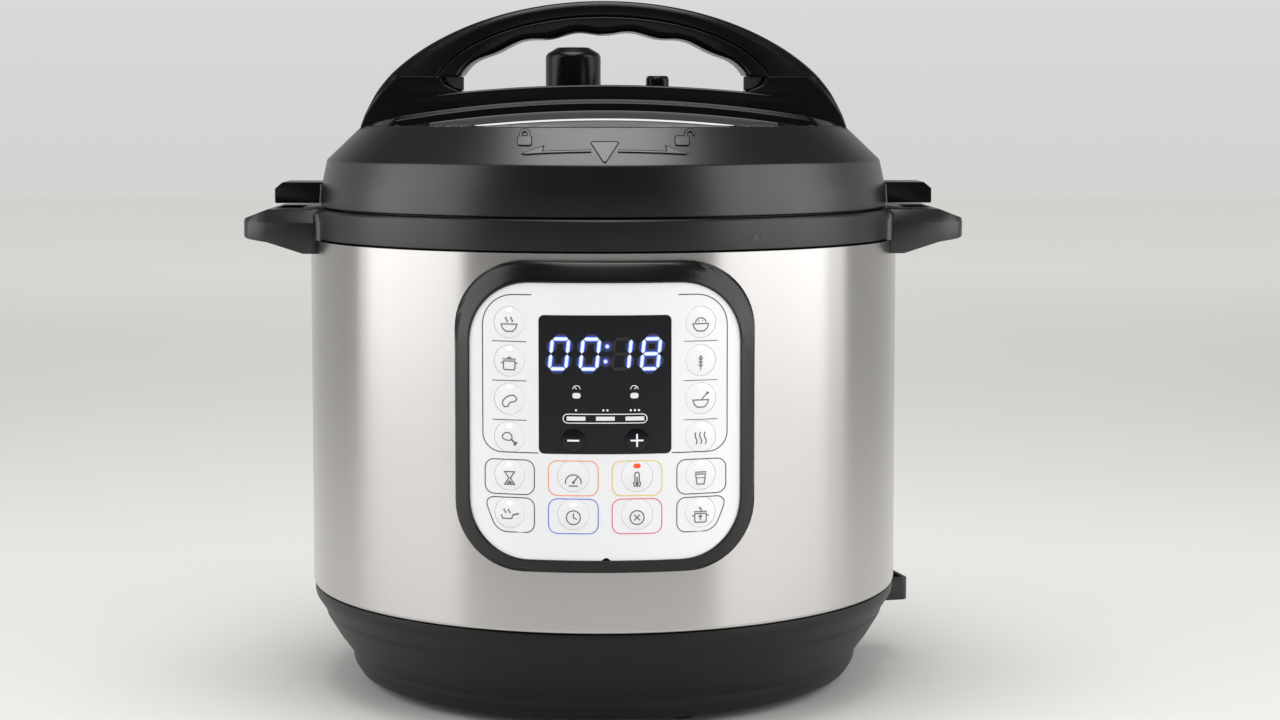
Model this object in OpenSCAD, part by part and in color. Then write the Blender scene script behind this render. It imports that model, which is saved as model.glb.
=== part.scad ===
// Electric pressure cooker with a turning lid, a lift-out pot and a curved control panel.
// The origin is on the body's axis at floor level, +Z is up and the panel faces -Y.

/* [Housing] */
// Outer radius of the steel sleeve
sleeve_r = 137.5; // [136:0.5:139]
// Wall of the steel sleeve
sleeve_wall = 0.8; // [0.6:0.1:1]
// Height of the steel sleeve
sleeve_h = 159; // [158:0.5:162]
// Wall of the moulded parts
wall = 2.5; // [2.2:0.1:2.8]
// Shadow gap between stacked mouldings
seam = 0.6; // [0.4:0.1:0.8]
// Height of the rubber feet
foot_h = 3; // [2.5:0.5:5]
// Radius of one foot
foot_r = 8; // [6:0.5:8]
// Height of the base moulding
base_h = 44.4; // [44:0.2:46]

/* [Rim and side handles] */
// Height of the rim collar
collar_h = 14; // [14:0.5:16]
// Reach of a side handle from the axis
grip_reach = 170; // [168:0.5:174]
// Width of a side handle along the rim
grip_w = 84; // [80:1:92]
// Height of a side handle at its tip
grip_tip_h = 11; // [10:0.5:12]
// Lock turn of the lid
turn_deg = 30; // [28:0.5:30]
// Number of bayonet teeth
teeth = 6; // [6]

/* [Lid] */
// Height of the lid's skirt
skirt_h = 21.9; // [21:0.1:24]
// Height of the lid's chamfer
chamfer_h = 16; // [15:0.5:17]
// Radius of the flat top inside the chamfer
crease_r = 113; // [112:0.5:114]
// Rise of the highest deck step above the flat top
bridge_rise = 17.9; // [17:0.1:20]
// Length of a lid fin beyond the skirt
fin_l = 25.2; // [23:0.2:28]
// Width of a lid fin
fin_w = 28; // [24:1:28]
// Height of a lid fin
fin_h = 10.7; // [10:0.1:11]

/* [Lid handle] */
// Height of the lid handle's top above the flat top
arch_h = 57; // [56:0.5:60]
// Half span of the lid handle
arch_a = 115.4; // [115:0.1:116]
// Depth of the lid handle at its feet
arch_w = 52; // [48:1:56]
// Depth of the grip
arch_grip_w = 38; // [34:1:42]

/* [Panel] */
// How far the bezel stands out from the sleeve
bezel_proud = 7; // [6.5:0.1:7.5]
// Width of the bezel
bezel_w = 127; // [126:0.5:130]
// Height of the bezel
bezel_h = 130.8; // [130:0.2:132]
// Corner radius of the bezel
bezel_corner = 29; // [27:0.5:30]
// Width of the panel face
face_w = 114; // [113:0.5:115]
// Height of the panel face
face_h = 116.3; // [115:0.1:117]
// Corner radius of the panel face
face_corner = 25; // [24:0.5:26]
// Width of the display window
window_w = 55.4; // [54:0.1:56]
// Height of the display window
window_h = 58.1; // [57:0.1:59]
// Radius of a function key
key_r = 6.6; // [6:0.1:6.8]
// Radius of the minus and plus keys
step_key_r = 5; // [4.5:0.1:5.2]
// Pitch of the key rows
key_pitch = 16; // [16:0.1:16.4]
// How far a key stands proud
key_proud = 0.5; // [0.4:0.1:0.7]
// Travel of a key
key_travel = 0.5; // [0.4:0.1:0.6]

/* [Pot] */
// Inner radius of the cooking pot
pot_r = 110; // [109:0.5:110.5]
// Wall of the cooking pot
pot_wall = 1.2; // [1:0.1:1.4]
// Wall of the liner bowl
liner_wall = 1.2; // [1:0.1:1.4]
// Radius of the heating plate
plate_r = 85; // [80:1:90]

/* [Valves] */
// Radius of the steam handle's head
knob_r = 13.4; // [13:0.1:14]
// Height of the steam handle
knob_h = 25; // [24:0.5:26]
// Radius of the float guard
guard_r = 5.65; // [5.5:0.05:6]
// Rise of the float
float_rise = 5; // [4:0.5:5]

/* [Hidden] */
$fn = 96;
eps = 0.01;
gap = 0.3;       // parts that move past each other
run = 0.05;      // shaft in hole, radial
big = 400;

// Levels, from the floor up
base_z0 = foot_h;
base_z1 = base_z0 + base_h;
sleeve_z0 = base_z1 + seam;
sleeve_z1 = sleeve_z0 + sleeve_h;
collar_z1 = sleeve_z1 + collar_h;
lid_z0 = collar_z1 + seam;
skirt_z1 = lid_z0 + skirt_h;
crease_z = skirt_z1 + chamfer_h;

// Base moulding
floor_in_r = 84;
ledge_in_r = 76;
ledge_out_r = 90;
ledge_t = 2;
bottom_plate_t = 1.2;
foot_pcr = 96;
foot_stem_r = 2.4;
bottom_screw_pcr = 80;
base_side = [[0.6, 0], [6.5, 12.4], [10.8, 20.4], [15.6, 27.9], [20, 34.4], [22, 37.9], [26, 42.4], [33.5, 44.4]];

// Liner, pot and rim
liner_r = pot_r + pot_wall + 2.4;
liner_out_r = liner_r + liner_wall;
liner_z0 = base_z1 - 5.4;
plate_z1 = liner_z0 + 15.6;
pot_z0 = plate_z1 + 0.4;
sensor_r = 12.2;
sensor_z1 = plate_z1 + 0.1;
spring_r = 7.5;
spring_wire = 0.7;
spring_z0 = liner_z0 - 6.8;
spring_z1 = sensor_z1 - 9;
ring_z1 = collar_z1 + 0.6;
ring_t = 2.8;
ring_z0 = ring_z1 - ring_t;
ring_r = liner_r + 7;
tooth_r = ring_r + 4.4;
tooth_deg = 360 / teeth - turn_deg - 3;
tab_t = 3.5;
tab_z1 = ring_z0 - 1.8;
tab_r = ring_r + 1.2;
steel_r = sleeve_r - 8.7;
steel_wall = 1.5;
collar_r0 = sleeve_r - 4.5;
collar_r1 = sleeve_r - 2.8;
collar_in_r = sleeve_r - 6.9;
trough_t = 2.5;
flange_t = 1.2;
pot_rim_z0 = ring_z1 + 0.4;
pot_rim_z1 = pot_rim_z0 + pot_wall;
pot_rim_r = pot_r + 9.6;
pot_corner = 9;
pot_floor_t = 2;

// Lid
lid_r0 = sleeve_r - 4.6;
lid_r1 = sleeve_r - 7.7;
fin_reach = lid_r1 + fin_l;
steel_top_z = crease_z - 15;
step_z = steel_top_z - 9.5;
deck_R = 545;
step_h = [3.5, 7, 11.1, bridge_rise + 0.1];
deck_hollow = 60;
step_front = [97, 80, 55, 34];
step_back = [97, 90, 80, 34];
arch_c = crease_z - 12.9;
arch_b = crease_z + arch_h + 0.5 - arch_c;
leg_z = crease_z + 22.5;
crease_a = 80;
crease_b = 38;
crease_c = crease_z + 12.5;
grip_a = 68;
grip_b = 26.5;
grip_c = crease_z + 16.5;
scallop = 0.8;
scallop_pitch = 25;

// Panel
bezel_r = sleeve_r + bezel_proud;
panel_zc = base_z1 + 91;
face_zc = panel_zc - 1.3;
sleeve_cut_w = 100;
sleeve_cut_h = 104;
face_r = bezel_r - 0.9;
face_t = 2.2;
window_zc = face_zc + 15.7;
window_corner = 2.3;
key_x = [-40, -13.3, 13.3, 40];
key_z0 = face_zc + 41.4;
step_key_z = face_zc - 7.6;
board_y = -123.1;
board_t = 1.6;
board_w = 90;
board_h = 92;
switch_h = 3;
key_flange = 0.9;
key_fit = 0.1;
key_stem_r = 2.2;

// Valves
knob_at = [-14.9, 56];
float_at = [26.6, 50];
deck_z = crease_z + step_h[2];
pipe_r = 5;
pipe_bore_r = 2.5;
pin_r = 2.6;
knob_z0 = deck_z + 0.8;
weight_z = knob_z0 + 9.5;
guard_h = 12.4;

// Display and power board, with the parts on it: x, y, width, depth, height
module_size = [48, 8, 40];
power_size = [80, 60];
power_parts = [[-34, -20, 26, 22, 18], [8, -8, 20, 16, 15], [22, -26, 14, 10, 9]];
power_cans = [[-24, 14], [-6, 16]];

// Rear cup
cup_r0 = sleeve_r + 3;
cup_r1 = sleeve_r + 12;
cup_z0 = sleeve_z1 - 41;
cup_z1 = sleeve_z1 - 4;
cup_deg = 12;
cup_wall = 1.4;

// Inlet
inlet_deg = 14;
inlet_proud = 12;
inlet_reach = sleeve_r + inlet_proud;
inlet_in_r = sleeve_r - 27.5;
inlet_wall = 2;
inlet_w = 30;
inlet_z0 = base_z1 - 20;
inlet_z1 = base_z1 - 9;

// Fasteners
screw_r = 2;
lid_screw_at = [[-88, -11], [-88, 11], [88, -11], [88, 11]];

function_keys = [
  for (row = [0:3]) ["key_left_" , row, 0, row],
  for (row = [0:3]) ["key_right_", row, 3, row],
  for (row = [0:1]) for (col = [0:3]) ["key_lower_", row * 4 + col, col, 4 + row]
];
key_names = [for (k = function_keys) str(k[0], k[1] + 1)];

// ---- helpers ----

// Upright tube from z0 to z1
module tube(r_out, r_in, z0, z1) {
  translate([0, 0, z0])
    difference() {
      cylinder(r = r_out, h = z1 - z0);
      translate([0, 0, -eps]) cylinder(r = r_in, h = z1 - z0 + 2 * eps);
    }
}

// Upright rod from z0 to z1
module rod(r, z0, z1) {
  translate([0, 0, z0]) cylinder(r = r, h = z1 - z0);
}

// Rectangle with round corners, centred
module round_rect(w, h, r) {
  square([w - 2 * r, h], center = true);
  square([w, h - 2 * r], center = true);
  for (x = [-1, 1]) for (y = [-1, 1])
    translate([x * (w / 2 - r), y * (h / 2 - r)]) circle(r = r);
}

// The child outline, x and z about zc, wrapped on the front between two radii
module on_front(r_in, r_out, zc) {
  intersection() {
    rotate([90, 0, 0]) translate([0, zc, 0]) linear_extrude(big) children();
    tube(r_out, r_in, zc - big / 4, zc + big / 4);
  }
}

// A child standing on the panel face at chord x and height z, its local z pointing outwards
module at_key(x, z) {
  rotate([0, 0, asin(x / face_r)]) translate([0, -face_r, z]) rotate([90, 0, 0]) children();
}

// An XZ outline extruded through the depth d, centred on Y
module slab(d) {
  rotate([90, 0, 0]) translate([0, 0, -d / 2]) linear_extrude(d) children();
}

// A sector of a circle in plan, from a0 to a1 degrees
module sector(r, a0, a1) {
  steps = 6;
  polygon(concat([[0, 0]], [for (i = [0:steps]) let (a = a0 + (a1 - a0) * i / steps) [r * cos(a), r * sin(a)]]));
}

function arc_z(h, x) = h - x * x / (2 * deck_R);

// ---- housing ----

module base_profile() {
  n = len(base_side);
  polygon(concat(
    [for (i = [0:n - 1]) [sleeve_r - base_side[i][0], base_z1 - base_side[i][1]]],
    [[floor_in_r, base_z0], [floor_in_r, base_z0 + wall]],
    [for (i = [n - 1:-1:0]) [sleeve_r - base_side[i][0] - wall,
                             max(base_z1 - base_side[i][1], base_z0 + wall)]]));
}

module base_housing() color([0.13, 0.13, 0.14]) {
  difference() {
    union() {
      rotate_extrude() base_profile();
      tube(ledge_out_r, ledge_in_r, base_z0 + wall, base_z0 + wall + ledge_t);
      // upstand that centres the sleeve
      tube(sleeve_r - sleeve_wall - run, sleeve_r - sleeve_wall - run - 1.6, base_z1 - 8, sleeve_z0 + 6);
      for (i = [0:3]) rotate([0, 0, 45 + 90 * i]) translate([bottom_screw_pcr, 0, 0])
        rod(4, base_z0 + wall, base_z0 + wall + 10);
    }
    for (i = [0:3]) {
      rotate([0, 0, 45 + 90 * i]) translate([bottom_screw_pcr, 0, 0])
        rod(screw_r + run, 0, base_z0 + wall + 8);
      rotate([0, 0, 20 + 90 * i]) translate([foot_pcr, 0, 0]) rod(foot_stem_r + run, 0, base_z0 + wall + 1);
    }
    // window for the inlet
    rotate([0, 0, inlet_deg]) translate([sleeve_r - 40, -inlet_w / 2 - run, inlet_z0 - run])
      cube([60, inlet_w + 2 * run, inlet_z1 - inlet_z0 + 2 * run]);
    // clear of the front board
    translate([-sleeve_cut_w / 2, -big, sleeve_z0]) cube([sleeve_cut_w, big, 10]);
  }
}

module bottom_plate() color([0.55, 0.55, 0.56]) {
  z1 = base_z0 + wall;
  difference() {
    rod(floor_in_r - gap, z1 - bottom_plate_t, z1);
    for (i = [0:3]) rotate([0, 0, 45 + 90 * i]) translate([bottom_screw_pcr, 0, 0])
      rod(screw_r + run, 0, z1 + 1);
    for (i = [0:7]) rotate([0, 0, 45 * i]) translate([30, -2, 0]) cube([28, 4, z1 + 1]);
  }
  for (x = [-32, 32]) for (y = [-22, 22]) translate([x, y, 0]) rod(3, z1, z1 + 7);
}

module rubber_feet() color([0.06, 0.06, 0.06]) {
  for (i = [0:3]) rotate([0, 0, 20 + 90 * i]) translate([foot_pcr, 0, 0]) {
    rod(foot_r, 0, base_z0);
    rod(foot_stem_r, base_z0 - eps, base_z0 + wall + eps);
    rod(foot_stem_r + 1.2, base_z0 + wall, base_z0 + wall + 1.5);
  }
}

module housing_screws() color([0.6, 0.6, 0.62]) {
  z1 = base_z0 + wall - bottom_plate_t;
  for (i = [0:3]) rotate([0, 0, 45 + 90 * i]) translate([bottom_screw_pcr, 0, 0]) {
    rod(screw_r + 1.8, z1 - 1.6, z1);
    rod(screw_r, z1 - eps, z1 + 9);
  }
}

module outer_shell() color([0.78, 0.77, 0.75]) {
  lip = 1.6;
  difference() {
    rotate_extrude() polygon([
      [sleeve_r, sleeve_z0 + lip], [sleeve_r, sleeve_z1 - eps], [sleeve_r - sleeve_wall, sleeve_z1 - eps],
      [sleeve_r - sleeve_wall, sleeve_z0 + lip / 3], [sleeve_r - 0.4, sleeve_z0 + lip / 3]]);
    rotate([90, 0, 0]) translate([0, panel_zc, 0]) linear_extrude(big)
      round_rect(sleeve_cut_w, sleeve_cut_h, 12);
  }
}

module rim_collar() color([0.12, 0.12, 0.13]) {
  up_r = sleeve_r - sleeve_wall - run;
  difference() {
    rotate_extrude() polygon([
      [collar_r0, sleeve_z1], [collar_r1, collar_z1 - 1], [collar_r1 - 0.8, collar_z1], [collar_in_r, collar_z1],
      [collar_in_r, sleeve_z1 + trough_t], [liner_out_r + gap, sleeve_z1 + trough_t],
      [liner_out_r + gap, sleeve_z1], [up_r - 2, sleeve_z1], [up_r - 2, sleeve_z1 - 7], [up_r, sleeve_z1 - 7],
      [up_r, sleeve_z1]]);
    for (s = [-1, 1]) for (y = [-24, 24]) translate([s * (sleeve_r - 14), y, 0])
      rod(screw_r + run, sleeve_z1 - 1, sleeve_z1 + trough_t + 1);
  }
}

module side_profile(inset) {
  zt = collar_z1 - inset;
  zb = collar_z1 - grip_tip_h - 4.5;
  x1 = grip_reach - inset;
  polygon([
    [100, zt], [grip_reach - 15 - inset / 2, zt], [x1 - 1, collar_z1 - 4.2 - inset], [x1, collar_z1 - 6 - inset],
    [x1, zb + 1 - inset * 4], [x1 - 1.5, zb - inset * 4], [sleeve_r, sleeve_z1 - 8 - inset * 4],
    [100, sleeve_z1 - 8 - inset * 4]]);
}

module side_plan(inset) {
  w0 = grip_w / 2 - inset;
  w1 = grip_w / 2 - 7 - inset;
  x1 = grip_reach - inset;
  polygon([[90, -w0], [sleeve_r - 4, -w0], [x1 - 9, -w1], [x1 - 2, -w1 + 4], [x1, -w1 + 11],
           [x1, w1 - 11], [x1 - 2, w1 - 4], [x1 - 9, w1], [sleeve_r - 4, w0], [90, w0]]);
}

module side_handle() color([0.10, 0.10, 0.11]) {
  slot_x = fin_reach - 8;
  difference() {
    intersection() {
      slab(grip_w + 1) side_profile(0);
      linear_extrude(big) side_plan(0);
    }
    // hollow underneath, for the fingers
    intersection() {
      slab(grip_w + 1) side_profile(wall);
      linear_extrude(big) side_plan(wall);
      tube(big, sleeve_r + wall, 0, big);
    }
    rod(sleeve_r + run, 0, sleeve_z1);
    rod(collar_r1 + run, sleeve_z1 - eps, big);
    // slot that takes a lid fin
    translate([slot_x - 5.8, -fin_w / 2 - 1, collar_z1 - wall * 2]) cube([11.6, fin_w + 2, wall * 3]);
  }
}

module liner_bowl() color([0.62, 0.62, 0.63]) {
  r = liner_r;
  c = pot_corner;
  difference() {
    union() {
      tube(liner_out_r, r, liner_z0 + c, ring_z0);
      tube(r - c + liner_wall, 60, liner_z0, liner_z0 + liner_wall);
      translate([0, 0, liner_z0 + c]) rotate_extrude() translate([r + liner_wall - c, 0])
        intersection() {
          difference() {
            circle(r = c);
            circle(r = c - liner_wall);
          }
          translate([0, -c]) square(c);
        }
      // flange under the bayonet ring and the clamp flange under the collar
      tube(ring_r - 1.5, r, ring_z0 - flange_t, ring_z0);
      tube(liner_out_r + 9, r, sleeve_z1 - flange_t, sleeve_z1);
    }
    for (i = [0:2]) rotate([0, 0, 120 * i]) translate([70, 0, 0]) rod(screw_r + run, 0, liner_z0 + 5);
  }
}

module bayonet_ring() color([0.66, 0.66, 0.67]) {
  difference() {
    tube(tooth_r, liner_r, ring_z0, ring_z1);
    for (i = [0:teeth - 1]) difference() {
      translate([0, 0, ring_z0 - 1]) linear_extrude(ring_t + 2)
        sector(tooth_r + 5, i * 360 / teeth + tooth_deg / 2, (i + 1) * 360 / teeth - tooth_deg / 2);
      rod(ring_r, 0, big);
    }
  }
}

module heating_plate() color([0.6, 0.6, 0.6]) {
  z0 = plate_z1 - 10.6;
  difference() {
    union() {
      rod(plate_r, z0, plate_z1 - 0.8);
      translate([0, 0, plate_z1 - 0.8]) cylinder(r1 = plate_r, r2 = plate_r - 2, h = 0.8);
      for (i = [0:2]) rotate([0, 0, 120 * i]) translate([70, 0, 0]) rod(6, liner_z0 + liner_wall, z0 + 1);
      for (s = [-1, 1]) translate([s * 28, -30, 0]) rod(4, liner_z0 - 8, z0 + 1);
    }
    rod(sensor_r + gap, 0, big);
    for (i = [0:2]) rotate([0, 0, 120 * i]) translate([70, 0, 0]) rod(screw_r + run, 0, z0 + 4);
  }
}

// One turn after another of round wire, as a single swept solid
module coil(r, wire, turns, h) {
  per = 20;
  sides = 8;
  n = turns * per;
  pts = [for (i = [0:n]) for (k = [0:sides - 1])
    let (a = 360 * i / per, b = 360 * k / sides, q = r + wire * cos(b))
      [q * cos(a), q * sin(a), h * i / n + wire * sin(b)]];
  faces = concat(
    [for (i = [0:n - 1]) for (k = [0:sides - 1]) let (j = (k + 1) % sides)
      [i * sides + k, i * sides + j, (i + 1) * sides + j, (i + 1) * sides + k]],
    [[for (k = [sides - 1:-1:0]) k]],
    [[for (k = [0:sides - 1]) n * sides + k]]);
  polyhedron(points = pts, faces = faces);
}

// Strap under the liner with a cup in the middle for the sensor's spring
module sensor_bracket() color([0.6, 0.6, 0.62]) {
  t = 1.2;
  difference() {
    union() {
      translate([-68, -8, liner_z0 - t]) cube([136, 16, t]);
      rod(spring_r + 3.2, spring_z0 - t, liner_z0);
    }
    rod(spring_r + 2, spring_z0, big);
  }
}

module sensor_spring() color([0.7, 0.7, 0.72]) {
  translate([0, 0, spring_z0 + spring_wire]) coil(spring_r, spring_wire, 5, spring_z1 - spring_z0 - 2 * spring_wire);
}

module sensor_cap() color([0.75, 0.75, 0.76]) {
  difference() {
    union() {
      rod(sensor_r, spring_z1, sensor_z1 - 0.8);
      translate([0, 0, sensor_z1 - 0.8]) cylinder(r1 = sensor_r, r2 = sensor_r - 1.2, h = 0.8);
    }
    rod(sensor_r - 1.2, spring_z1 + 1, sensor_z1 - 1.6);
    rod(5, 0, spring_z1 + 2);
  }
}

// ---- panel ----

module panel_bezel() color([0.07, 0.07, 0.08]) {
  difference() {
    on_front(sleeve_r + 0.5, bezel_r, panel_zc) round_rect(bezel_w, bezel_h, bezel_corner);
    on_front(face_r - face_t, big, face_zc) round_rect(face_w, face_h, face_corner);
    on_front(60, big, panel_zc) round_rect(sleeve_cut_w - 3, sleeve_cut_h - 3, 10.5);
    // small drain notch at the bottom
    translate([0, -bezel_r, panel_zc - bezel_h / 2 + 3.5]) rotate([90, 0, 0]) cylinder(r = 0.9, h = 1, center = true);
  }
  // collar through the sleeve's window
  on_front(sleeve_r - 4, sleeve_r + 0.5 + eps, panel_zc) difference() {
    round_rect(sleeve_cut_w - 2 * run, sleeve_cut_h - 2 * run, 12 - run);
    round_rect(sleeve_cut_w - 3, sleeve_cut_h - 3, 10.5);
  }
}

module key_hole(x, z, r) {
  at_key(x, z) translate([0, 0, -8]) cylinder(r = r + key_fit, h = 16);
}

module panel_overlay() color([0.85, 0.86, 0.87]) {
  difference() {
    on_front(face_r - face_t + run, face_r, face_zc) round_rect(face_w - 2 * run, face_h - 2 * run, face_corner - run);
    on_front(60, big, window_zc) round_rect(window_w, window_h, window_corner);
    for (k = function_keys) key_hole(key_x[k[2]], key_z0 - k[3] * key_pitch, key_r);
  }
}

module display_window() color([0.02, 0.02, 0.03]) {
  difference() {
    on_front(face_r - face_t + run, face_r + 2 * run, window_zc)
      round_rect(window_w - 2 * run, window_h - 2 * run, window_corner - run);
    for (i = [1, 2]) key_hole(key_x[i], step_key_z, step_key_r);
  }
}

module display_module() color([0.1, 0.1, 0.12]) {
  translate([-module_size[0] / 2, board_y - board_t - module_size[1], window_zc - 14]) cube(module_size);
}

// Height of the board's face above the axis along a key's own radius
function switch_end(x) = (-board_y + board_t + switch_h) / cos(asin(x / face_r));

module control_board() color([0.05, 0.25, 0.15]) {
  translate([-board_w / 2, board_y - board_t, panel_zc - board_h / 2]) cube([board_w, board_t, board_h]);
  for (k = function_keys) translate([(-board_y + board_t + switch_h) * tan(asin(key_x[k[2]] / face_r)) - 3,
    board_y - board_t - switch_h, key_z0 - k[3] * key_pitch - 3]) cube([6, switch_h, 6]);
  for (i = [1, 2]) translate([(-board_y + board_t + switch_h) * tan(asin(key_x[i] / face_r)) - 3,
    board_y - board_t - switch_h, step_key_z - 3]) cube([6, switch_h, 6]);
}

// A key: head in the face, flange behind it, stem to its switch
module key(x, z, r) {
  tilt = asin(abs(x) / face_r);
  deep = face_r - switch_end(x) - key_travel - gap - key_stem_r * tan(tilt);
  color([0.84, 0.85, 0.86]) at_key(x, z) {
    translate([0, 0, -face_t - 0.4]) cylinder(r = r, h = face_t + 0.4 + key_proud / 2);
    translate([0, 0, key_proud / 2]) cylinder(r1 = r, r2 = r - 0.6, h = key_proud / 2);
    translate([0, 0, -face_t - 1.4]) cylinder(r = r + key_flange, h = 1);
    translate([0, 0, -deep]) cylinder(r = key_stem_r, h = deep - face_t);
  }
}

module key_minus() key(key_x[1], step_key_z, step_key_r);
module key_plus() key(key_x[2], step_key_z, step_key_r);

// ---- power ----

module power_board() color([0.08, 0.3, 0.16]) {
  z = base_z0 + wall + 7;
  translate([-power_size[0] / 2, -power_size[1] / 2, z]) cube([power_size[0], power_size[1], board_t]);
  for (p = power_parts) translate([p[0], p[1], z + board_t]) cube([p[2], p[3], p[4]]);
  for (p = power_cans) translate([p[0], p[1], z + board_t]) cylinder(r = 6, h = 12);
}

module power_inlet() color([0.09, 0.09, 0.10]) {
  rotate([0, 0, inlet_deg]) difference() {
    union() {
      translate([inlet_in_r, -inlet_w / 2, inlet_z0])
        cube([inlet_reach - inlet_in_r - 3, inlet_w, inlet_z1 - inlet_z0]);
      translate([inlet_in_r, -inlet_w / 2 + 3, inlet_z0])
        cube([inlet_reach - inlet_in_r, inlet_w - 6, inlet_z1 - inlet_z0]);
      for (s = [-1, 1]) translate([inlet_reach - 3, s * (inlet_w / 2 - 3), inlet_z0])
        cylinder(r = 3, h = inlet_z1 - inlet_z0);
    }
    translate([sleeve_r - 4, inlet_wall - inlet_w / 2, inlet_z0 + inlet_wall])
      cube([inlet_proud + 4 - inlet_wall, inlet_w - 2 * inlet_wall, big]);
  }
}

module inlet_pins() color([0.8, 0.7, 0.4]) {
  rotate([0, 0, inlet_deg]) for (y = [-7, 0, 7])
    translate([sleeve_r + 0.5, y - 1, inlet_z0 + inlet_wall]) cube([4, 2, 6]);
}

// ---- rear cup ----

module collector_bracket() color([0.09, 0.09, 0.10]) {
  ear_z = cup_z1 - 4;
  difference() {
    intersection() {
      union() {
        tube(sleeve_r + 1.8, sleeve_r + run, cup_z0 + 4, sleeve_z1 - 1);
        tube(cup_r1, sleeve_r + 1, ear_z - 3, ear_z - gap);
      }
      linear_extrude(big) sector(big, 90 - cup_deg - 4, 90 + cup_deg + 4);
    }
    intersection() {
      tube(big, cup_r0 - gap, ear_z - 4, ear_z + 1);
      linear_extrude(big) sector(big, 90 - cup_deg - gap, 90 + cup_deg + gap);
    }
  }
}

module condensation_cup() color([0.55, 0.6, 0.65, 0.6]) {
  ear_z = cup_z1 - 4;
  difference() {
    intersection() {
      union() {
        tube(cup_r1, cup_r0, cup_z0, cup_z1);
      }
      linear_extrude(big) sector(big, 90 - cup_deg, 90 + cup_deg);
    }
    intersection() {
      tube(cup_r1 - cup_wall, cup_r0 + cup_wall, cup_z0 + cup_wall, big);
      linear_extrude(big) sector(big, 90 - cup_deg + 0.6, 90 + cup_deg - 0.6);
    }
  }
  intersection() {
    tube(cup_r1, cup_r0, ear_z, ear_z + 2);
    linear_extrude(big) union() {
      sector(big, 90 + cup_deg - 0.2, 90 + cup_deg + 2.4);
      sector(big, 90 - cup_deg - 2.4, 90 - cup_deg + 0.2);
    }
  }
}

// ---- pot ----

module inner_pot() color([0.72, 0.72, 0.72]) {
  r = pot_r;
  c = pot_corner;
  tube(r + pot_wall, r, pot_z0 + c, pot_rim_z1);
  rod(r - c + pot_wall, pot_z0, pot_z0 + pot_floor_t);
  translate([0, 0, pot_z0 + c]) rotate_extrude() translate([r + pot_wall - c, 0])
    intersection() {
      difference() {
        circle(r = c);
        circle(r = c - pot_wall);
      }
      translate([0, -c]) square(c);
    }
  tube(pot_rim_r, r, pot_rim_z0, pot_rim_z1);
}

// ---- lid ----

module sealing_ring() color([0.75, 0.75, 0.72]) {
  z = pot_rim_z1 + gap;
  rotate_extrude() polygon([
    [pot_r + 2.5, z], [pot_rim_r - 1, z], [pot_rim_r + 4.5, z + 3], [pot_rim_r + 4.5, z + 9.4],
    [pot_rim_r, z + 9.4], [pot_rim_r, z + 4.6], [pot_r + 3.5, z + 1.8]]);
}

module pressure_lid() color([0.7, 0.7, 0.71]) {
  z0 = tab_z1 - tab_t;
  r = steel_r;
  w = steel_wall;
  difference() {
    union() {
      rotate_extrude() polygon([
        [r, z0], [r, step_z - 5], [r - 3.5, step_z + w], [pot_r + 4, step_z + w], [pot_r - 5, steel_top_z],
        [0, steel_top_z], [0, steel_top_z - w], [pot_r - 5.6, steel_top_z - w], [pot_r + 3.4, step_z],
        [r - w - 2.8, step_z], [r - w, step_z - 5.4], [r - w, z0]]);
      intersection() {
        tube(r - w + eps, tab_r, z0, tab_z1);
        union() for (i = [0:teeth - 1])
          linear_extrude(big) sector(r + 5, i * 360 / teeth - tooth_deg / 2, i * 360 / teeth + tooth_deg / 2);
      }
    }
    for (p = lid_screw_at) translate([p[0], p[1], 0]) rod(screw_r + run, 0, big);
    translate([knob_at[0], knob_at[1], 0]) rod(pipe_r + run, 0, big);
    translate([float_at[0], float_at[1], 0]) rod(pin_r + gap, 0, big);
  }
}

// Wire ring that holds the sealing ring, with three clips to the lid
module seal_rack() color([0.72, 0.72, 0.73]) {
  z = pot_rim_z1 + gap + 6;
  translate([0, 0, z]) rotate_extrude() translate([pot_rim_r - 2, 0]) circle(r = 1);
  for (i = [0:2]) rotate([0, 0, 30 + 120 * i]) translate([pot_rim_r - 2, 0, 0]) rod(1, z, step_z);
}

module lid_cover() color([0.16, 0.16, 0.17]) {
  w = wall;
  difference() {
    union() {
      rotate_extrude() polygon([
        [lid_r0 - 0.4, lid_z0], [lid_r0, lid_z0 + 0.6], [lid_r1, skirt_z1 - 1], [lid_r1 - 0.8, skirt_z1],
        [crease_r + 0.6, crease_z - 0.4], [crease_r - 0.6, crease_z], [0, crease_z],
        [0, crease_z - w], [crease_r - 1.5, crease_z - w], [lid_r1 - w, skirt_z1 - 1.5], [lid_r0 - w, lid_z0]]);
      difference() {
        intersection() {
          translate([0, 0, -eps]) deck_block(0);
          rod(crease_r - 0.8, 0, big);
        }
        deck_upper(run);
      }
      for (p = lid_screw_at) translate([p[0], p[1], 0]) rod(5, steel_top_z + gap, crease_z - w / 2);
    }
    for (p = lid_screw_at) translate([p[0], p[1], 0]) rod(screw_r + run, 0, big);
    translate([knob_at[0], knob_at[1], 0]) rod(pipe_r + 1, 0, big);
    translate([float_at[0], float_at[1], 0]) rod(guard_r + run, 0, big);
  }
}

module lid_fin() color([0.07, 0.07, 0.08]) {
  z0 = lid_z0 + 0.6;
  z1 = z0 + fin_h;
  difference() {
    slab(fin_w) polygon([[lid_r1 - 3, z0], [fin_reach - 0.5, z0], [fin_reach, z0 + 0.5], [fin_reach, z1 - 3],
                         [fin_reach - 4, z1], [lid_r1 - 3, z1]]);
    translate([0, 0, lid_z0]) cylinder(r1 = lid_r0 + run + 0.1, r2 = lid_r1 + run, h = skirt_h);
  }
}

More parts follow.
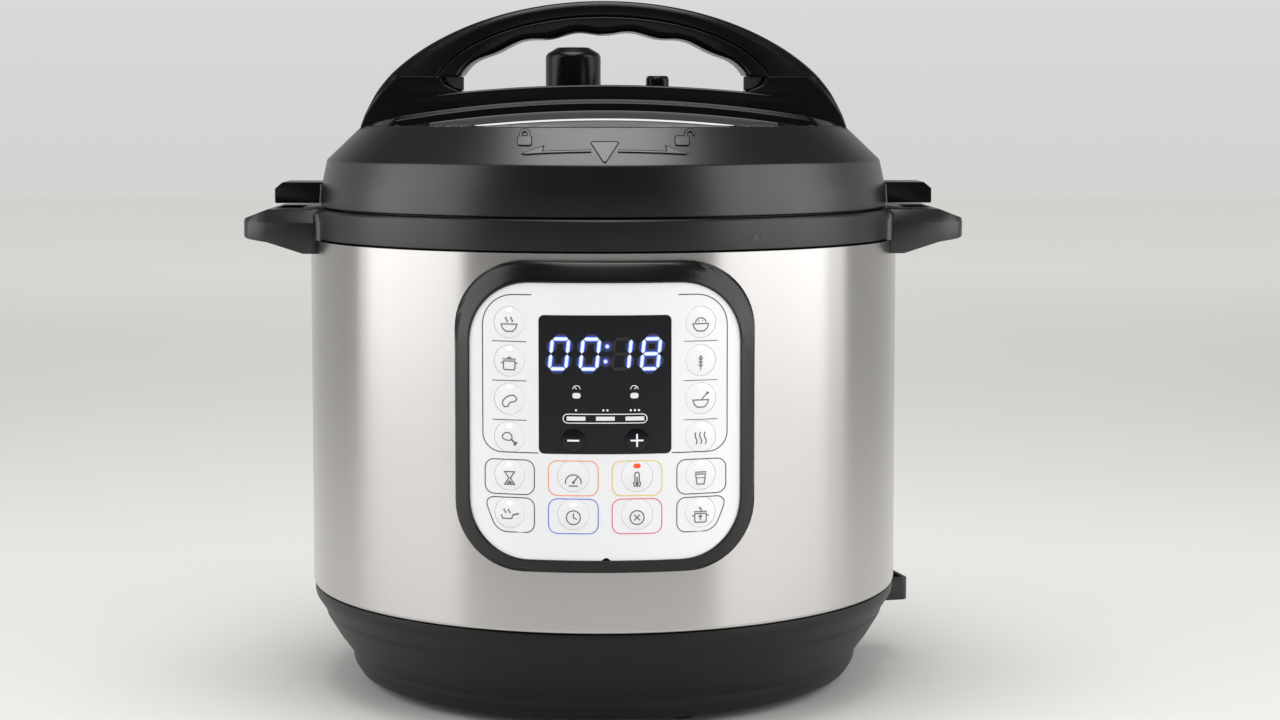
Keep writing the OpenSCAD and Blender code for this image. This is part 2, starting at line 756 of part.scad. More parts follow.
// Outline of one deck step: an arc on top, flat below
module step_outline(h, z_low) {
  n = 10;
  half = min(crease_r - 1, sqrt(2 * deck_R * h) - 0.4);
  polygon(concat([[-half, z_low], [half, z_low]],
    [for (i = [n:-1:-n]) let (x = half * i / n) [x, crease_z + arc_z(h, x)]]));
}

module deck_block(i) {
  front = step_front[i];
  back = step_back[i];
  translate([0, (back - front) / 2, 0]) slab(front + back) step_outline(step_h[i], crease_z);
}

// Outline inside the lower legs, from the bridge top to the seam
module leg_outline() {
  n = 12;
  t0 = asin((crease_z - arch_c) / arch_b);
  t1 = asin((leg_z - arch_c) / arch_b);
  x_in = crease_a - 5.5;
  top = arc_z(step_h[3], x_in - 9);
  polygon(concat(
    [for (i = [0:n]) let (t = t0 + (t1 - t0) * i / n) [arch_a * cos(t), arch_c + arch_b * sin(t)]],
    [[x_in, leg_z], [x_in - 1.2, leg_z - 3], [x_in - 4, crease_z + top + 2], [x_in - 9, crease_z + top - 0.4],
     [x_in - 9, crease_z]]));
}

// Where the gloss steps stand on the cover, seen from above, with a clearance
module deck_upper(clear) {
  translate([0, 0, crease_z - 1]) linear_extrude(big)
    for (i = [1:3]) let (half = sqrt(2 * deck_R * step_h[i]))
      translate([-half, -step_front[i] - clear]) square([2 * half, step_front[i] + step_back[i] + 2 * clear]);
}

module handle_bridge() color([0.05, 0.05, 0.06]) {
  difference() {
    union() {
      intersection() {
        union() for (i = [1:3]) deck_block(i);
        rod(crease_r - 0.8, 0, big);
      }
      for (s = [0, 1]) mirror([s, 0, 0]) intersection() {
        slab(arch_w) leg_outline();
        handle_section();
      }
    }
    // hollow under the deck, between the legs
    intersection() {
      union() for (i = [2, 3]) translate([0, (step_back[i] - step_front[i]) / 2, 0])
        slab(step_front[i] + step_back[i] - 2 * wall) step_outline(step_h[i] - wall, crease_z - 1);
      translate([-deck_hollow, -big / 2, crease_z - 1]) cube([2 * deck_hollow, big, 30]);
    }
    for (p = lid_screw_at) translate([p[0], p[1], 0]) rod(screw_r + run, 0, big);
    translate([knob_at[0], knob_at[1], 0]) rod(pipe_r + 1, 0, big);
    translate([float_at[0], float_at[1], 0]) rod(guard_r + run, 0, big);
    // clear above the flat top
    rod(big / 2, crease_z - 5, crease_z + eps);
  }
}

// What the handle may fill seen from its end: broad feet that narrow to a rounded top
module handle_section() {
  zt = arch_c + arch_b;
  g = arch_grip_w / 2;
  f = arch_w / 2;
  half = [[f, crease_z - 1], [f - 1.5, leg_z - 8], [f - 3.2, leg_z + 4], [g + 1.2, leg_z + 15], [g, leg_z + 23],
          [g - 0.6, zt - 4.5], [g - 2.2, zt - 1.6], [g - 5, zt - 0.2], [g - 8, zt + eps]];
  n = len(half) - 1;
  rotate([90, 0, 90]) translate([0, 0, -big / 2]) linear_extrude(big)
    polygon(concat(half, [for (i = [n:-1:0]) [-half[i][0], half[i][1]]]));
}

// Outline of the arch above the seam, less what the grip fills
module arch_outline() {
  n = 20;
  t0 = asin((leg_z + 0.3 - arch_c) / arch_b);
  u0 = asin((leg_z + 0.3 - crease_c) / crease_b);
  polygon(concat(
    [for (i = [0:2 * n]) let (t = t0 + (180 - 2 * t0) * i / (2 * n)) [arch_a * cos(t), arch_c + arch_b * sin(t)]],
    [for (i = [2 * n:-1:0]) let (t = u0 + (180 - 2 * u0) * i / (2 * n))
      [crease_a * cos(t), crease_c + crease_b * sin(t)]]));
}

module handle_arch() color([0.05, 0.05, 0.06]) {
  difference() {
    intersection() {
      slab(arch_w) arch_outline();
      handle_section();
    }
    for (p = lid_screw_at) translate([p[0], p[1], 0]) rod(screw_r + run, 0, leg_z + 5);
  }
}

// Outline of the grip: under the arch's crease, with finger scallops below
module grip_outline() {
  n = 36;
  u0 = asin((leg_z - 4 - crease_c) / crease_b);
  v0 = 14;
  ca = crease_a - run;
  cb = crease_b - run;
  polygon(concat(
    [for (i = [0:n]) let (t = u0 + (180 - 2 * u0) * i / n) [ca * cos(t), crease_c + cb * sin(t)]],
    [for (i = [n:-1:0]) let (t = v0 + (180 - 2 * v0) * i / n, x = grip_a * cos(t))
      [x, grip_c + grip_b * sin(t) - scallop * cos(360 * x / scallop_pitch)]]));
}

module handle_grip() color([0.07, 0.07, 0.08]) {
  difference() {
    intersection() {
      slab(arch_w) grip_outline();
      handle_section();
    }
    for (s = [0, 1]) mirror([s, 0, 0]) slab(arch_w + 2) leg_outline();
  }
}

module lid_screws() color([0.62, 0.62, 0.63]) {
  z0 = steel_top_z - steel_wall;
  for (p = lid_screw_at) translate([p[0], p[1], 0]) {
    rod(screw_r + 1.8, z0 - 1.8, z0);
    rod(screw_r, z0 - eps, leg_z + 4);
  }
}

// ---- valves ----

module steam_pipe() color([0.7, 0.7, 0.71]) {
  z0 = steel_top_z - steel_wall;
  translate([knob_at[0], knob_at[1], 0]) difference() {
    union() {
      rod(pipe_r, z0 - 4, weight_z - 1);
      rod(pipe_r + 3, z0 - 4, z0);
      translate([0, 0, steel_top_z]) cylinder(r = pipe_r + 3, h = 4, $fn = 6);
    }
    rod(pipe_bore_r, 0, big);
  }
}

module anti_block_shield() color([0.7, 0.7, 0.71]) {
  z1 = steel_top_z - steel_wall;
  translate([knob_at[0], knob_at[1], 0]) difference() {
    rod(13, z1 - 11, z1);
    rod(12, z1 - 10, z1 + 1);
    for (i = [0:7]) rotate([0, 0, 45 * i]) translate([8, -1.5, z1 - 8]) cube([8, 3, 6]);
  }
}

module steam_handle() color([0.06, 0.06, 0.07]) {
  z1 = knob_z0 + knob_h;
  translate([knob_at[0], knob_at[1], 0]) {
    difference() {
      union() {
        rod(knob_r, knob_z0, z1 - 5);
        translate([0, 0, z1 - 5]) cylinder(r1 = knob_r, r2 = knob_r - 5.2, h = 5);
        // lever that points to the back
        translate([-5, 0, knob_z0]) cube([10, 26, 12]);
        translate([0, 26, knob_z0]) cylinder(r = 5, h = 12);
      }
      rod(knob_r - wall, 0, weight_z + 10);
      for (i = [0:2]) rotate([0, 0, 120 * i + 30]) translate([knob_r - 5, -2, weight_z + 2]) cube([8, 4, 5]);
    }
  }
}

module release_weight() color([0.7, 0.7, 0.71]) {
  translate([knob_at[0], knob_at[1], 0]) difference() {
    union() {
      rod(knob_r - wall - run, weight_z + 5, weight_z + 9.9);
      rod(8, weight_z - 5, weight_z + 5 + eps);
    }
    rod(pipe_r + gap, 0, weight_z - 1 + gap);
  }
  translate([knob_at[0], knob_at[1], 0]) rod(pipe_bore_r - gap, weight_z - 4, weight_z);
}

module float_guard() color([0.05, 0.05, 0.05]) {
  z1 = deck_z + guard_h - 0.6;
  translate([float_at[0], float_at[1], 0]) difference() {
    union() {
      rod(guard_r, steel_top_z, z1 - 0.8);
      translate([0, 0, z1 - 0.8]) cylinder(r1 = guard_r, r2 = guard_r - 0.8, h = 0.8);
    }
    rod(pin_r + gap, 0, big);
  }
}

module float_pin() color([0.75, 0.75, 0.76]) {
  translate([float_at[0], float_at[1], 0]) {
    rod(pin_r, steel_top_z - 8.7, deck_z + guard_h - 1.6);
    rod(5, steel_top_z - 10.5, steel_top_z - 8.7 + eps);
  }
}

module float_seal() color([0.7, 0.7, 0.66]) {
  z = steel_top_z - steel_wall - gap - float_rise;
  translate([float_at[0], float_at[1], 0]) tube(5, pin_r, z - 1.8, z);
}

base_housing();
bottom_plate();
rubber_feet();
housing_screws();
outer_shell();
rim_collar();
mirror([1, 0, 0]) side_handle();  // side_handle_left
side_handle();  // side_handle_right
liner_bowl();
bayonet_ring();
heating_plate();
sensor_bracket();
sensor_spring();
sensor_cap();
panel_bezel();
panel_overlay();
display_window();
display_module();
control_board();
power_board();
power_inlet();
inlet_pins();
collector_bracket();
condensation_cup();
inner_pot();
sealing_ring();
pressure_lid();
seal_rack();
lid_cover();
mirror([1, 0, 0]) lid_fin();  // lid_fin_left
lid_fin();  // lid_fin_right
handle_bridge();
handle_arch();
handle_grip();
lid_screws();
steam_pipe();
anti_block_shield();
steam_handle();
release_weight();
float_guard();
float_pin();
float_seal();
key_minus();
key_plus();
for (i = [0:len(function_keys) - 1])
  key(key_x[function_keys[i][2]], key_z0 - function_keys[i][3] * key_pitch, key_r);
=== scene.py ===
import math

import bmesh
import bpy
from mathutils import Matrix, Vector, geometry


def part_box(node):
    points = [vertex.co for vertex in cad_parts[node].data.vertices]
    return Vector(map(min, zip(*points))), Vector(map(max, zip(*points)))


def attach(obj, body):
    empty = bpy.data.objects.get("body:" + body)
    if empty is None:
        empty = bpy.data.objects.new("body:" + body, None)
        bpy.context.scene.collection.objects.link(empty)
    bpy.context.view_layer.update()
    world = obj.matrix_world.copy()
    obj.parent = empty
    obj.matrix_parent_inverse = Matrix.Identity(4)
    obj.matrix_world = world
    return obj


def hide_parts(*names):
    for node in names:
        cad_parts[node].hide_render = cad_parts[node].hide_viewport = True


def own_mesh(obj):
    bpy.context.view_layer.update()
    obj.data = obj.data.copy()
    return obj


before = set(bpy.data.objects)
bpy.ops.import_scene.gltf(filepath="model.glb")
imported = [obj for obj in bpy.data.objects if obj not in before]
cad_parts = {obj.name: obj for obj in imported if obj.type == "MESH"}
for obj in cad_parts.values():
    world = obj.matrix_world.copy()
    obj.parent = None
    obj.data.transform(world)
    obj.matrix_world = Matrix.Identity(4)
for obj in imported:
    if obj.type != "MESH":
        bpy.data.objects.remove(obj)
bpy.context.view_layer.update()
MM = 0.001

# ---------------------------------------------------------------------------
# Base. One injection moulding in black polypropylene with a fine satin texture.
# Its wall draws in towards the floor in three shallow lobes, the steel sleeve
# stands on its upper ledge, and a zinc-plated plate with rubber feet closes it.


class Val:
    """An output socket of a material or world; arithmetic on it adds Math nodes."""

    def __init__(self, tree, socket=None):
        self.tree, self.socket = tree, socket

    @staticmethod
    def put(socket, value):
        """Links a Val to the socket, or sets a plain value on it."""
        if isinstance(value, Val):
            value.tree.links.new(value.socket, socket)
        elif isinstance(value, (tuple, list)) and len(value) == 3 and socket.type == "RGBA":
            socket.default_value = (*value, 1.0)
        else:
            socket.default_value = value

    def node(self, kind, settings=(), inputs=(), out=None, **values):
        """A new node: its settings, its inputs in order or by name, and the output that is wanted."""
        n = self.tree.nodes.new("ShaderNode" + kind)
        for key, value in dict(settings).items():
            setattr(n, key, value)
        for socket, value in zip(n.inputs, inputs):
            self.put(socket, value)
        for key, value in values.items():
            name = key.replace("_", " ")
            self.put(next(s for s in n.inputs if s.enabled and s.name == name), value)
        if out is None:
            return Val(self.tree, next(s for s in n.outputs if s.enabled))
        return Val(self.tree, n.outputs[out])

    def other(self, out):
        """Another output of the same node."""
        return Val(self.tree, self.socket.node.outputs[out])

    def math(self, op, *rest):
        return self.node("Math", {"operation": op}, (self, *rest))

    def blend(self, a, b):
        """The colour a where the value is 0, and b where it is 1."""
        return self.node("Mix", {"data_type": "RGBA"}, Factor=self, A=a, B=b)

    def ease(self, start, end, low=0.0, high=1.0):
        """Runs smoothly from low to high while the value runs from start to end."""
        return self.node("MapRange", {"interpolation_type": "SMOOTHSTEP"}, Value=self,
                         From_Min=start, From_Max=end, To_Min=low, To_Max=high)

    def __add__(self, other):
        return self.math("ADD", other)

    __radd__ = __add__

    def __mul__(self, other):
        return self.math("MULTIPLY", other)

    __rmul__ = __mul__

    def __sub__(self, other):
        return self.math("SUBTRACT", other)

    def __rsub__(self, other):
        return self * -1.0 + other


def new_material(name):
    """An empty material, and a Val to start its nodes from."""
    mat = bpy.data.materials.new(name)
    mat.use_nodes = True
    mat.node_tree.nodes.clear()
    return mat, Val(mat.node_tree)


def close_material(mat, fixed=(), **varying):
    """Adds the Principled node with its fixed values and its varying ones, and the output."""
    bsdf = mat.node_tree.nodes.new("ShaderNodeBsdfPrincipled")
    for key, value in dict(fixed).items():
        Val.put(bsdf.inputs[key], value)
    for key, value in varying.items():
        Val.put(bsdf.inputs[key.replace("_", " ")], value)
    out = mat.node_tree.nodes.new("ShaderNodeOutputMaterial")
    mat.node_tree.links.new(bsdf.outputs[0], out.inputs[0])
    return mat


def linear(r, g, b):
    """A colour written as 0-255 display values."""
    return tuple((c / 12.92 if c <= 0.04045 else ((c + 0.055) / 1.055) ** 2.4)
                 for c in (r / 255, g / 255, b / 255))


def scaled(colour, by):
    return tuple(c * by for c in colour)


def finish_of(name, colour, rough, metal=0.0, drift=0.12, rough_drift=0.05, grain=0.02, pitch=0.9, fixed=()):
    """A moulded, cast or plated surface: slow drift of tone and gloss, and a fine grain in relief."""
    mat, v = new_material(name)
    place = v.node("TexCoord", out="Object")
    slow = v.node("TexNoise", Vector=place, Scale=22.0, Detail=3.0)
    grains = v.node("TexNoise", Vector=place, Scale=1 / (pitch * MM), Detail=2.0)
    return close_material(
        mat, {"Metallic": metal, **dict(fixed)},
        Base_Color=slow.blend(scaled(colour, 1 - drift), scaled(colour, 1 + drift)),
        Roughness=rough + (slow - 0.5) * rough_drift * 2 + (grains - 0.5) * 0.04,
        Normal=grains.node("Bump", Strength=grain, Distance=0.0004, Height=grains))


def fillet(points, steps=5):
    """(x, y, radius) corners to a polyline, each corner rounded by an arc of its radius."""
    out = []
    for i, (x, y, r) in enumerate(points):
        corner = Vector((x, y))
        if r <= 0 or i in (0, len(points) - 1):
            out.append((x, y))
            continue
        back = Vector(points[i - 1][:2]) - corner
        ahead = Vector(points[i + 1][:2]) - corner
        room = 0.49 * min(back.length, ahead.length)
        back.normalize()
        ahead.normalize()
        half = back.angle(ahead) / 2
        if half > math.pi / 2 - 0.02:
            out.append((x, y))
            continue
        cut = min(r / math.tan(half), room)
        centre = corner + (back + ahead).normalized() * (cut * math.tan(half) / math.sin(half))
        first, last = corner + back * cut - centre, corner + ahead * cut - centre
        turn = first.angle_signed(last)
        for k in range(steps + 1):
            q = centre + Matrix.Rotation(-turn * k / steps, 2) @ first
            out.append((q.x, q.y))
    return out


def dress(name, mesh, mat, body, angle=38, bevel=0.0, segments=2, slot=None, stands_for=()):
    """A mesh as a piece in its finish, on its CAD body, with bevelled edges or edges sharp over an angle."""
    obj = bpy.data.objects.new(name, mesh)
    bpy.context.scene.collection.objects.link(obj)
    obj.data.materials.clear()
    obj.data.materials.append(mat)
    if bevel:
        m = obj.modifiers.new("edges", "BEVEL")
        m.width, m.segments, m.limit_method = bevel * MM, segments, "ANGLE"
        m.angle_limit = math.radians(angle - 8)
        m.harden_normals = m.use_clamp_overlap = True
        m.miter_outer = "MITER_ARC"
        obj.data.shade_smooth()
    else:
        obj.data.shade_smooth()
        obj.data.set_sharp_from_angle(angle=math.radians(angle))
    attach(obj, body)
    if stands_for:
        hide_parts(*stands_for)
    return obj


def add_piece(name, verts, faces, mat, body, **more):
    """A mesh made here, in millimetres, as a piece."""
    mesh = bpy.data.meshes.new(name)
    mesh.from_pydata([tuple(c * MM for c in p) for p in verts], [], faces)
    bm = bmesh.new()
    bm.from_mesh(mesh)
    bmesh.ops.remove_doubles(bm, verts=bm.verts, dist=1e-7)
    bmesh.ops.recalc_face_normals(bm, faces=bm.faces)
    bm.to_mesh(mesh)
    bm.free()
    return dress(name, mesh, mat, body, **more)


def lathe(name, profile, mat, body, steps=240, closed=True, **more):
    """An (r, z) outline turned about the upright axis."""
    verts, faces = [], []
    n = len(profile)
    for k in range(steps):
        a = 2 * math.pi * k / steps
        verts += [(r * math.cos(a), r * math.sin(a), z) for r, z in profile]
    last = n if closed else n - 1
    for k in range(steps):
        m = (k + 1) % steps
        for i in range(last):
            j = (i + 1) % n
            faces.append((k * n + i, m * n + i, m * n + j, k * n + j))
    return add_piece(name, verts, faces, mat, body, **more)


def copy_of(node, mat, body, bevel, flat_angle=1.0, **more):
    """A CAD node's own shape with its flat facets joined and its edges broken."""
    mesh = bpy.data.meshes.new(node + "_skin")
    bm = bmesh.new()
    bm.from_mesh(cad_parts[node].data)
    bmesh.ops.remove_doubles(bm, verts=bm.verts, dist=2e-6)
    bmesh.ops.dissolve_limit(bm, angle_limit=math.radians(flat_angle), verts=bm.verts, edges=bm.edges)
    bmesh.ops.recalc_face_normals(bm, faces=bm.faces)
    bm.to_mesh(mesh)
    bm.free()
    return dress(node + "_skin", mesh, mat, body, bevel=bevel, stands_for=[node], **more)


def paint(mat, slot, *nodes):
    """A CAD node shown as it is, in a finish."""
    for node in nodes:
        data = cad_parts[node].data
        data.materials.clear()
        data.materials.append(mat)


matt = finish_of("matt_black", linear(13, 14, 16), 0.42, grain=0.08, pitch=0.5,
                 fixed={"Specular IOR Level": 0.3})
rubber = finish_of("foot_rubber", linear(24, 24, 25), 0.75, grain=0.2, pitch=0.6)
zinc = finish_of("zinc_steel", linear(170, 172, 176), 0.32, metal=1.0, grain=0.03, pitch=0.7)

BASE_R, BASE_Z0, BASE_Z1 = 136.9, 3.0, 45.9
LEDGE_R, OPENING_R, FLOOR_TOP = 112.0, 84.0, 5.5
base_outline = fillet([
    (LEDGE_R, 44.0, 0), (LEDGE_R, BASE_Z1, 0), (BASE_R, BASE_Z1, 0.5), (BASE_R, 41.4, 8), (131.9, 33.9, 3),
    (131.7, 31.9, 4), (125.9, 22.4, 28), (119.3, 13.4, 3), (119.1, 9.2, 5), (115.8, 4.0, 2.5),
    (110.0, BASE_Z0, 1.2), (OPENING_R, BASE_Z0, 0.4), (OPENING_R, FLOOR_TOP, 0), (108.0, FLOOR_TOP, 0),
    (114.0, 12.0, 0)])
lathe("base_skin", base_outline, matt, "housing", slot="satin_black", angle=30, stands_for=["base_housing"])
copy_of("bottom_plate", zinc, "housing", 0.3, slot="zinc_steel")
copy_of("rubber_feet", rubber, "housing", 0.7, segments=3, slot="foot_rubber")
copy_of("housing_screws", zinc, "housing", 0.25, slot="zinc_steel")

# ---------------------------------------------------------------------------
# Cooker bowl and heater. The liner is a drawn bowl of bare steel; a cast
# aluminium heating plate is screwed to its floor, with a sprung sensor cap in
# the middle that a strap with a cup holds from below.

bare_steel = finish_of("plain_steel", linear(200, 198, 194), 0.28, metal=1.0, grain=0.02, pitch=0.5)
rough_aluminium = finish_of("cast_aluminium", linear(150, 151, 152), 0.55, metal=1.0, grain=0.25, pitch=0.7)
fine_aluminium = finish_of("aluminium_cap", linear(190, 191, 193), 0.4, metal=1.0, grain=0.08, pitch=0.5)
paint(bare_steel, "plain_steel", "liner_bowl", "bayonet_ring")
paint(rough_aluminium, "cast_aluminium", "heating_plate")
paint(zinc, "zinc_steel", "sensor_bracket")
paint(fine_aluminium, "aluminium_cap", "sensor_cap")

SPRING_TRAVEL = 3.05 * MM
spring = copy_of("sensor_spring", zinc, "housing", 0.0, slot="zinc_steel", flat_angle=0.01)
foot, head = (corner.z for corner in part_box("sensor_spring"))
1 - SPRING_TRAVEL / (head - foot)
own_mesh(spring)

# ---------------------------------------------------------------------------
# Boards. Glass-epoxy boards with green solder mask carry the switches, the
# relay and the transformer; the display is a black module behind its window.

green_board = finish_of("board_green", linear(22, 72, 48), 0.35, drift=0.2, grain=0.05, pitch=1.5)
display_black = finish_of("module_black", linear(20, 20, 22), 0.4, grain=0.03)
paint(green_board, "board_green", "control_board", "power_board")
paint(display_black, "module_black", "display_module")

# ---------------------------------------------------------------------------
# Steel sleeve. A rolled sheet of stainless steel, brushed round the body and
# left bare, with a folded lower edge; it has a window behind the panel.


def brushed(name, colour):
    """Brushed steel: fine lines round the axis, a faint slow drift in tone, and a lower part painted paler, a
    painted reflection of the bright floor.
    """
    mat, v = new_material(name)
    place = v.node("TexCoord", out="Object")
    across = v.node("VectorMath", {"operation": "MULTIPLY"}, (place, (5, 5, 3200)))
    lines = v.node("TexNoise", Vector=across, Scale=1.0, Detail=4.0, Roughness=0.65)
    along = v.node("VectorMath", {"operation": "MULTIPLY"}, (place, (60, 60, 1.5)))
    bands = v.node("TexNoise", Vector=along, Scale=1.0, Detail=2.0)
    tone = (bands * 0.7 + lines * 0.3).blend(scaled(colour, 0.96), scaled(colour, 1.04))
    # painted reflection: the steel is painted paler towards the bottom, standing in for the bright floor it
    # reflects
    lower = v.node("SeparateXYZ", Vector=place, out="Z").ease(0.15, 0.05)
    return close_material(
        mat, {"Metallic": 1.0, "Anisotropic": 0.85, "Anisotropic Rotation": 0.25},
        Base_Color=lower.blend(tone, scaled(colour, 1.16)), Roughness=0.26 + (lines - 0.5) * 0.06,
        Normal=lines.node("Bump", Strength=0.02, Distance=0.0002, Height=lines))


SLEEVE_R, SLEEVE_IN_R, SLEEVE_Z0, SLEEVE_Z1 = 137.5, 136.7, 46.5, 206.98
CUTOUT_Z0, CUTOUT_Z1, CUTOUT_HALF_ANGLE = 86.0, 190.0, 21
sleeve_steel = brushed("brushed_sleeve", linear(182, 180, 178))


def sleeve():
    """The turned sleeve, with the faces left out where it is open behind the panel."""
    folded_edge = fillet([
        (SLEEVE_IN_R, SLEEVE_Z0 + 0.5, 0), (SLEEVE_R - 0.5, SLEEVE_Z0 + 0.05, 0),
        (SLEEVE_R - 0.25, SLEEVE_Z0 + 0.3, 0.3), (SLEEVE_R, SLEEVE_Z0 + 1.2, 1.0), (SLEEVE_R, SLEEVE_Z1, 0)])
    outline = folded_edge[:-1]
    outline += [(SLEEVE_R, CUTOUT_Z0), (SLEEVE_R, CUTOUT_Z1), (SLEEVE_R, SLEEVE_Z1),
                (SLEEVE_IN_R, SLEEVE_Z1), (SLEEVE_IN_R, CUTOUT_Z1), (SLEEVE_IN_R, CUTOUT_Z0)]
    verts, faces = [], []
    n, steps = len(outline), 360
    for k in range(steps):
        a = 2 * math.pi * k / steps
        verts += [(r * math.cos(a), r * math.sin(a), z) for r, z in outline]
    for k in range(steps):
        m = (k + 1) % steps
        at_panel = abs(k + 0.5 - 270) < CUTOUT_HALF_ANGLE
        for i in range(n):
            j = (i + 1) % n
            if not (at_panel and {outline[i][1], outline[j][1]} == {CUTOUT_Z0, CUTOUT_Z1}):
                faces.append((k * n + i, m * n + i, m * n + j, k * n + j))
    return add_piece("sleeve_skin", verts, faces, sleeve_steel, "housing", angle=30,
                     slot="brushed_sleeve", stands_for=["outer_shell"])


sleeve()

# ---------------------------------------------------------------------------
# Rim collar and side handles. The collar is a satin black moulding that clips
# over the sleeve and the liner; a handle block is screwed to it at each side
# and is hollow underneath for the fingers.

COLLAR_R, COLLAR_Z0, COLLAR_Z1 = 136.2, 207.0, 221.0
SEAT_IN_R, SEAT_Z, LIP_R, LIP_Z = 113.5, 209.5, 128.4, 222.5
collar_outline = fillet([
    (SEAT_IN_R, SEAT_Z, 0), (SEAT_IN_R, COLLAR_Z0, 0), (135.2, COLLAR_Z0, 0.2), (COLLAR_R, 207.8, 0.7),
    (COLLAR_R, 219.9, 0.8), (135.6, COLLAR_Z1, 0.6), (129.3, COLLAR_Z1, 0.2), (129.3, LIP_Z, 0.2),
    (LIP_R, LIP_Z, 0.2), (LIP_R, SEAT_Z, 0.5)])
collar_black = finish_of("collar_black", linear(6, 7, 9), 0.34, grain=0.06, pitch=0.5,
                         fixed={"Specular IOR Level": 0.5})
lathe("collar_skin", collar_outline, collar_black, "housing", slot="satin_black", angle=30,
      stands_for=["rim_collar"])


def ring_faces(rings, n):
    """Quads between neighbouring closed rings of n points."""
    return [(k * n + i, k * n + (i + 1) % n, (k + 1) * n + (i + 1) % n, (k + 1) * n + i)
            for k in range(rings - 1) for i in range(n)]


def loft(name, loops, mat, body, **more):
    """A solid through closed loops of equal length, with flat ends."""
    n, count = len(loops[0]), len(loops)
    faces = ring_faces(count, n) + [tuple(range(n)), tuple(range((count - 1) * n, count * n))]
    return add_piece(name, [p for loop in loops for p in loop], faces, mat, body, **more)


def root_fillet(name, side, levels, body):
    """The small hollow fillet where a block's front face leaves a turned wall.

    Each level is its height, the wall's radius, the face's distance in front of the axis, and the
    fillet's radius.
    """
    buried = 0.8
    loops = []
    for z, wall, front, r in levels:
        cy = front + r
        cx = math.sqrt((wall + r) ** 2 - cy * cy)
        start = math.atan2(cy, -cx)
        hollow = [(cx + r * math.cos(a), r * math.sin(a) - cy)
                  for a in (start + (math.pi / 2 - start) * k / 8 for k in range(9))]
        hollow += [(hollow[-1][0], buried - front), (hollow[0][0] - buried, buried - front)]
        loops.append([(side * x, y, z) for x, y in hollow])
    return loft(name, loops, satin, body, angle=40, slot="satin_black")


def share(value, start, end):
    """How far a value is on its way from start to end, from 0 to 1."""
    return min(1.0, max(0.0, (value - start) / (end - start)))


satin = finish_of("satin_black", linear(10, 12, 14), 0.32, grain=0.06, pitch=0.5,
                  fixed={"Specular IOR Level": 0.62})

# the tip's plan as the solid has it, in straight cuts, and as the moulding has it, one smooth curve
TIP_PLAN = ((152.0, 37.29), (161.0, 35.0), (168.0, 31.0), (170.0, 24.0))
TIP_CURVE = ((152.0, 37.29), (161.0, 35.0), (170.0, 32.6), (170.0, 24.0))
TIP_CUTS = (154.5, 157.5, 160.0, 162.5, 164.5, 166.0, 167.2, 168.6, 169.2, 169.7)
TIP_X, TIP_SHORTER = 153.5, 0.78
GRIP_Z, SLOPE_HEIGHT, SLOPE_DEPTH, SLOPE_Y = 215.2, 5.8, 4.2, 22
HOLLOW_X = 128.0


def on_line(table, x):
    """The value at x on the straight lines between a table's points, or 0 outside it."""
    for (x0, y0), (x1, y1) in zip(table, table[1:]):
        if x0 <= x <= x1:
            return y0 + (y1 - y0) * (x - x0) / (x1 - x0)
    return 0


def tip_curve(x):
    """Half the handle's width at x, on the curve from its straight side round to its end."""
    low, high = 0.0, 1.0
    for _ in range(30):
        t = (low + high) / 2
        u = 1 - t
        weights = (u ** 3, 3 * u * u * t, 3 * u * t * t, t ** 3)
        if sum(w * p[0] for w, p in zip(weights, TIP_CURVE)) < x:
            low = t
        else:
            high = t
    return sum(w * p[1] for w, p in zip(weights, TIP_CURVE))


def side_handle(where, side):
    """The handle block with its upper edges sloped, its tip rounded and its underside raised."""
    block = copy_of(f"side_handle_{where}", satin, "housing", 0.9, slot="satin_black", segments=4, angle=24,
                    flat_angle=4)
    bm = bmesh.new()
    bm.from_mesh(block.data)
    cuts = [((0, 0, GRIP_Z * MM), (0, 0, 1))] + [((side * x * MM, 0, 0), (1, 0, 0)) for x in TIP_CUTS]
    for place, normal in cuts:
        bmesh.ops.bisect_plane(bm, geom=bm.verts[:] + bm.edges[:] + bm.faces[:], dist=1e-6,
                               plane_co=place, plane_no=normal)
    for v in bm.verts:
        x, y, z = abs(v.co.x) / MM, v.co.y / MM, v.co.z / MM
        if x > 152.1 and abs(abs(y) - on_line(TIP_PLAN, x)) < 0.4:
            y = math.copysign(tip_curve(x), y)
            v.co.y = y * MM
        if z > GRIP_Z + 0.1 and abs(y) > SLOPE_Y:
            v.co.y -= math.copysign((z - GRIP_Z) / SLOPE_HEIGHT * SLOPE_DEPTH, y) * MM
        if z < GRIP_Z - 0.1 and x > HOLLOW_X:
            lift = 2.1 + 1.9 * share(x, 138.0, 148.0) - 1.6 * share(x, 150.0, 166.0)
            v.co.z += min(lift, (215.0 - z) * 0.8) * MM
        if x > TIP_X:
            v.co.x = math.copysign(TIP_X + (x - TIP_X) * TIP_SHORTER, v.co.x) * MM
    bm.to_mesh(block.data)
    bm.free()
    root_fillet(f"handle_root_{where}", side, [
        (207.2, COLLAR_R, 42.0, 4.0), (GRIP_Z, COLLAR_R, 42.0, 4.0), (219.2, COLLAR_R, 39.1, 4.0),
        (220.3, COLLAR_R - 0.4, 38.3, 3.2), (220.9, COLLAR_R - 1.0, 37.9, 2.2)], "housing")


SIDES = (("left", -1), ("right", 1))
for where, side in SIDES:
    side_handle(where, side)

# ---------------------------------------------------------------------------
# Panel bezel. A gloss black moulded frame, curved round the sleeve, with a
# broad soft edge outside and a sharp step down to the face inside.

PANEL_W, PANEL_H, PANEL_ROUND, PANEL_Z = 127.0, 130.8, 29.0, 138.4
FRAME_W, FACE_H, FACE_Z = 6.5, 116.3, 137.1
bezel_black = finish_of("bezel_black", linear(8, 8, 10), 0.28, rough_drift=0.02, grain=0.02, pitch=2.0,
                        fixed={"Specular IOR Level": 0.42})


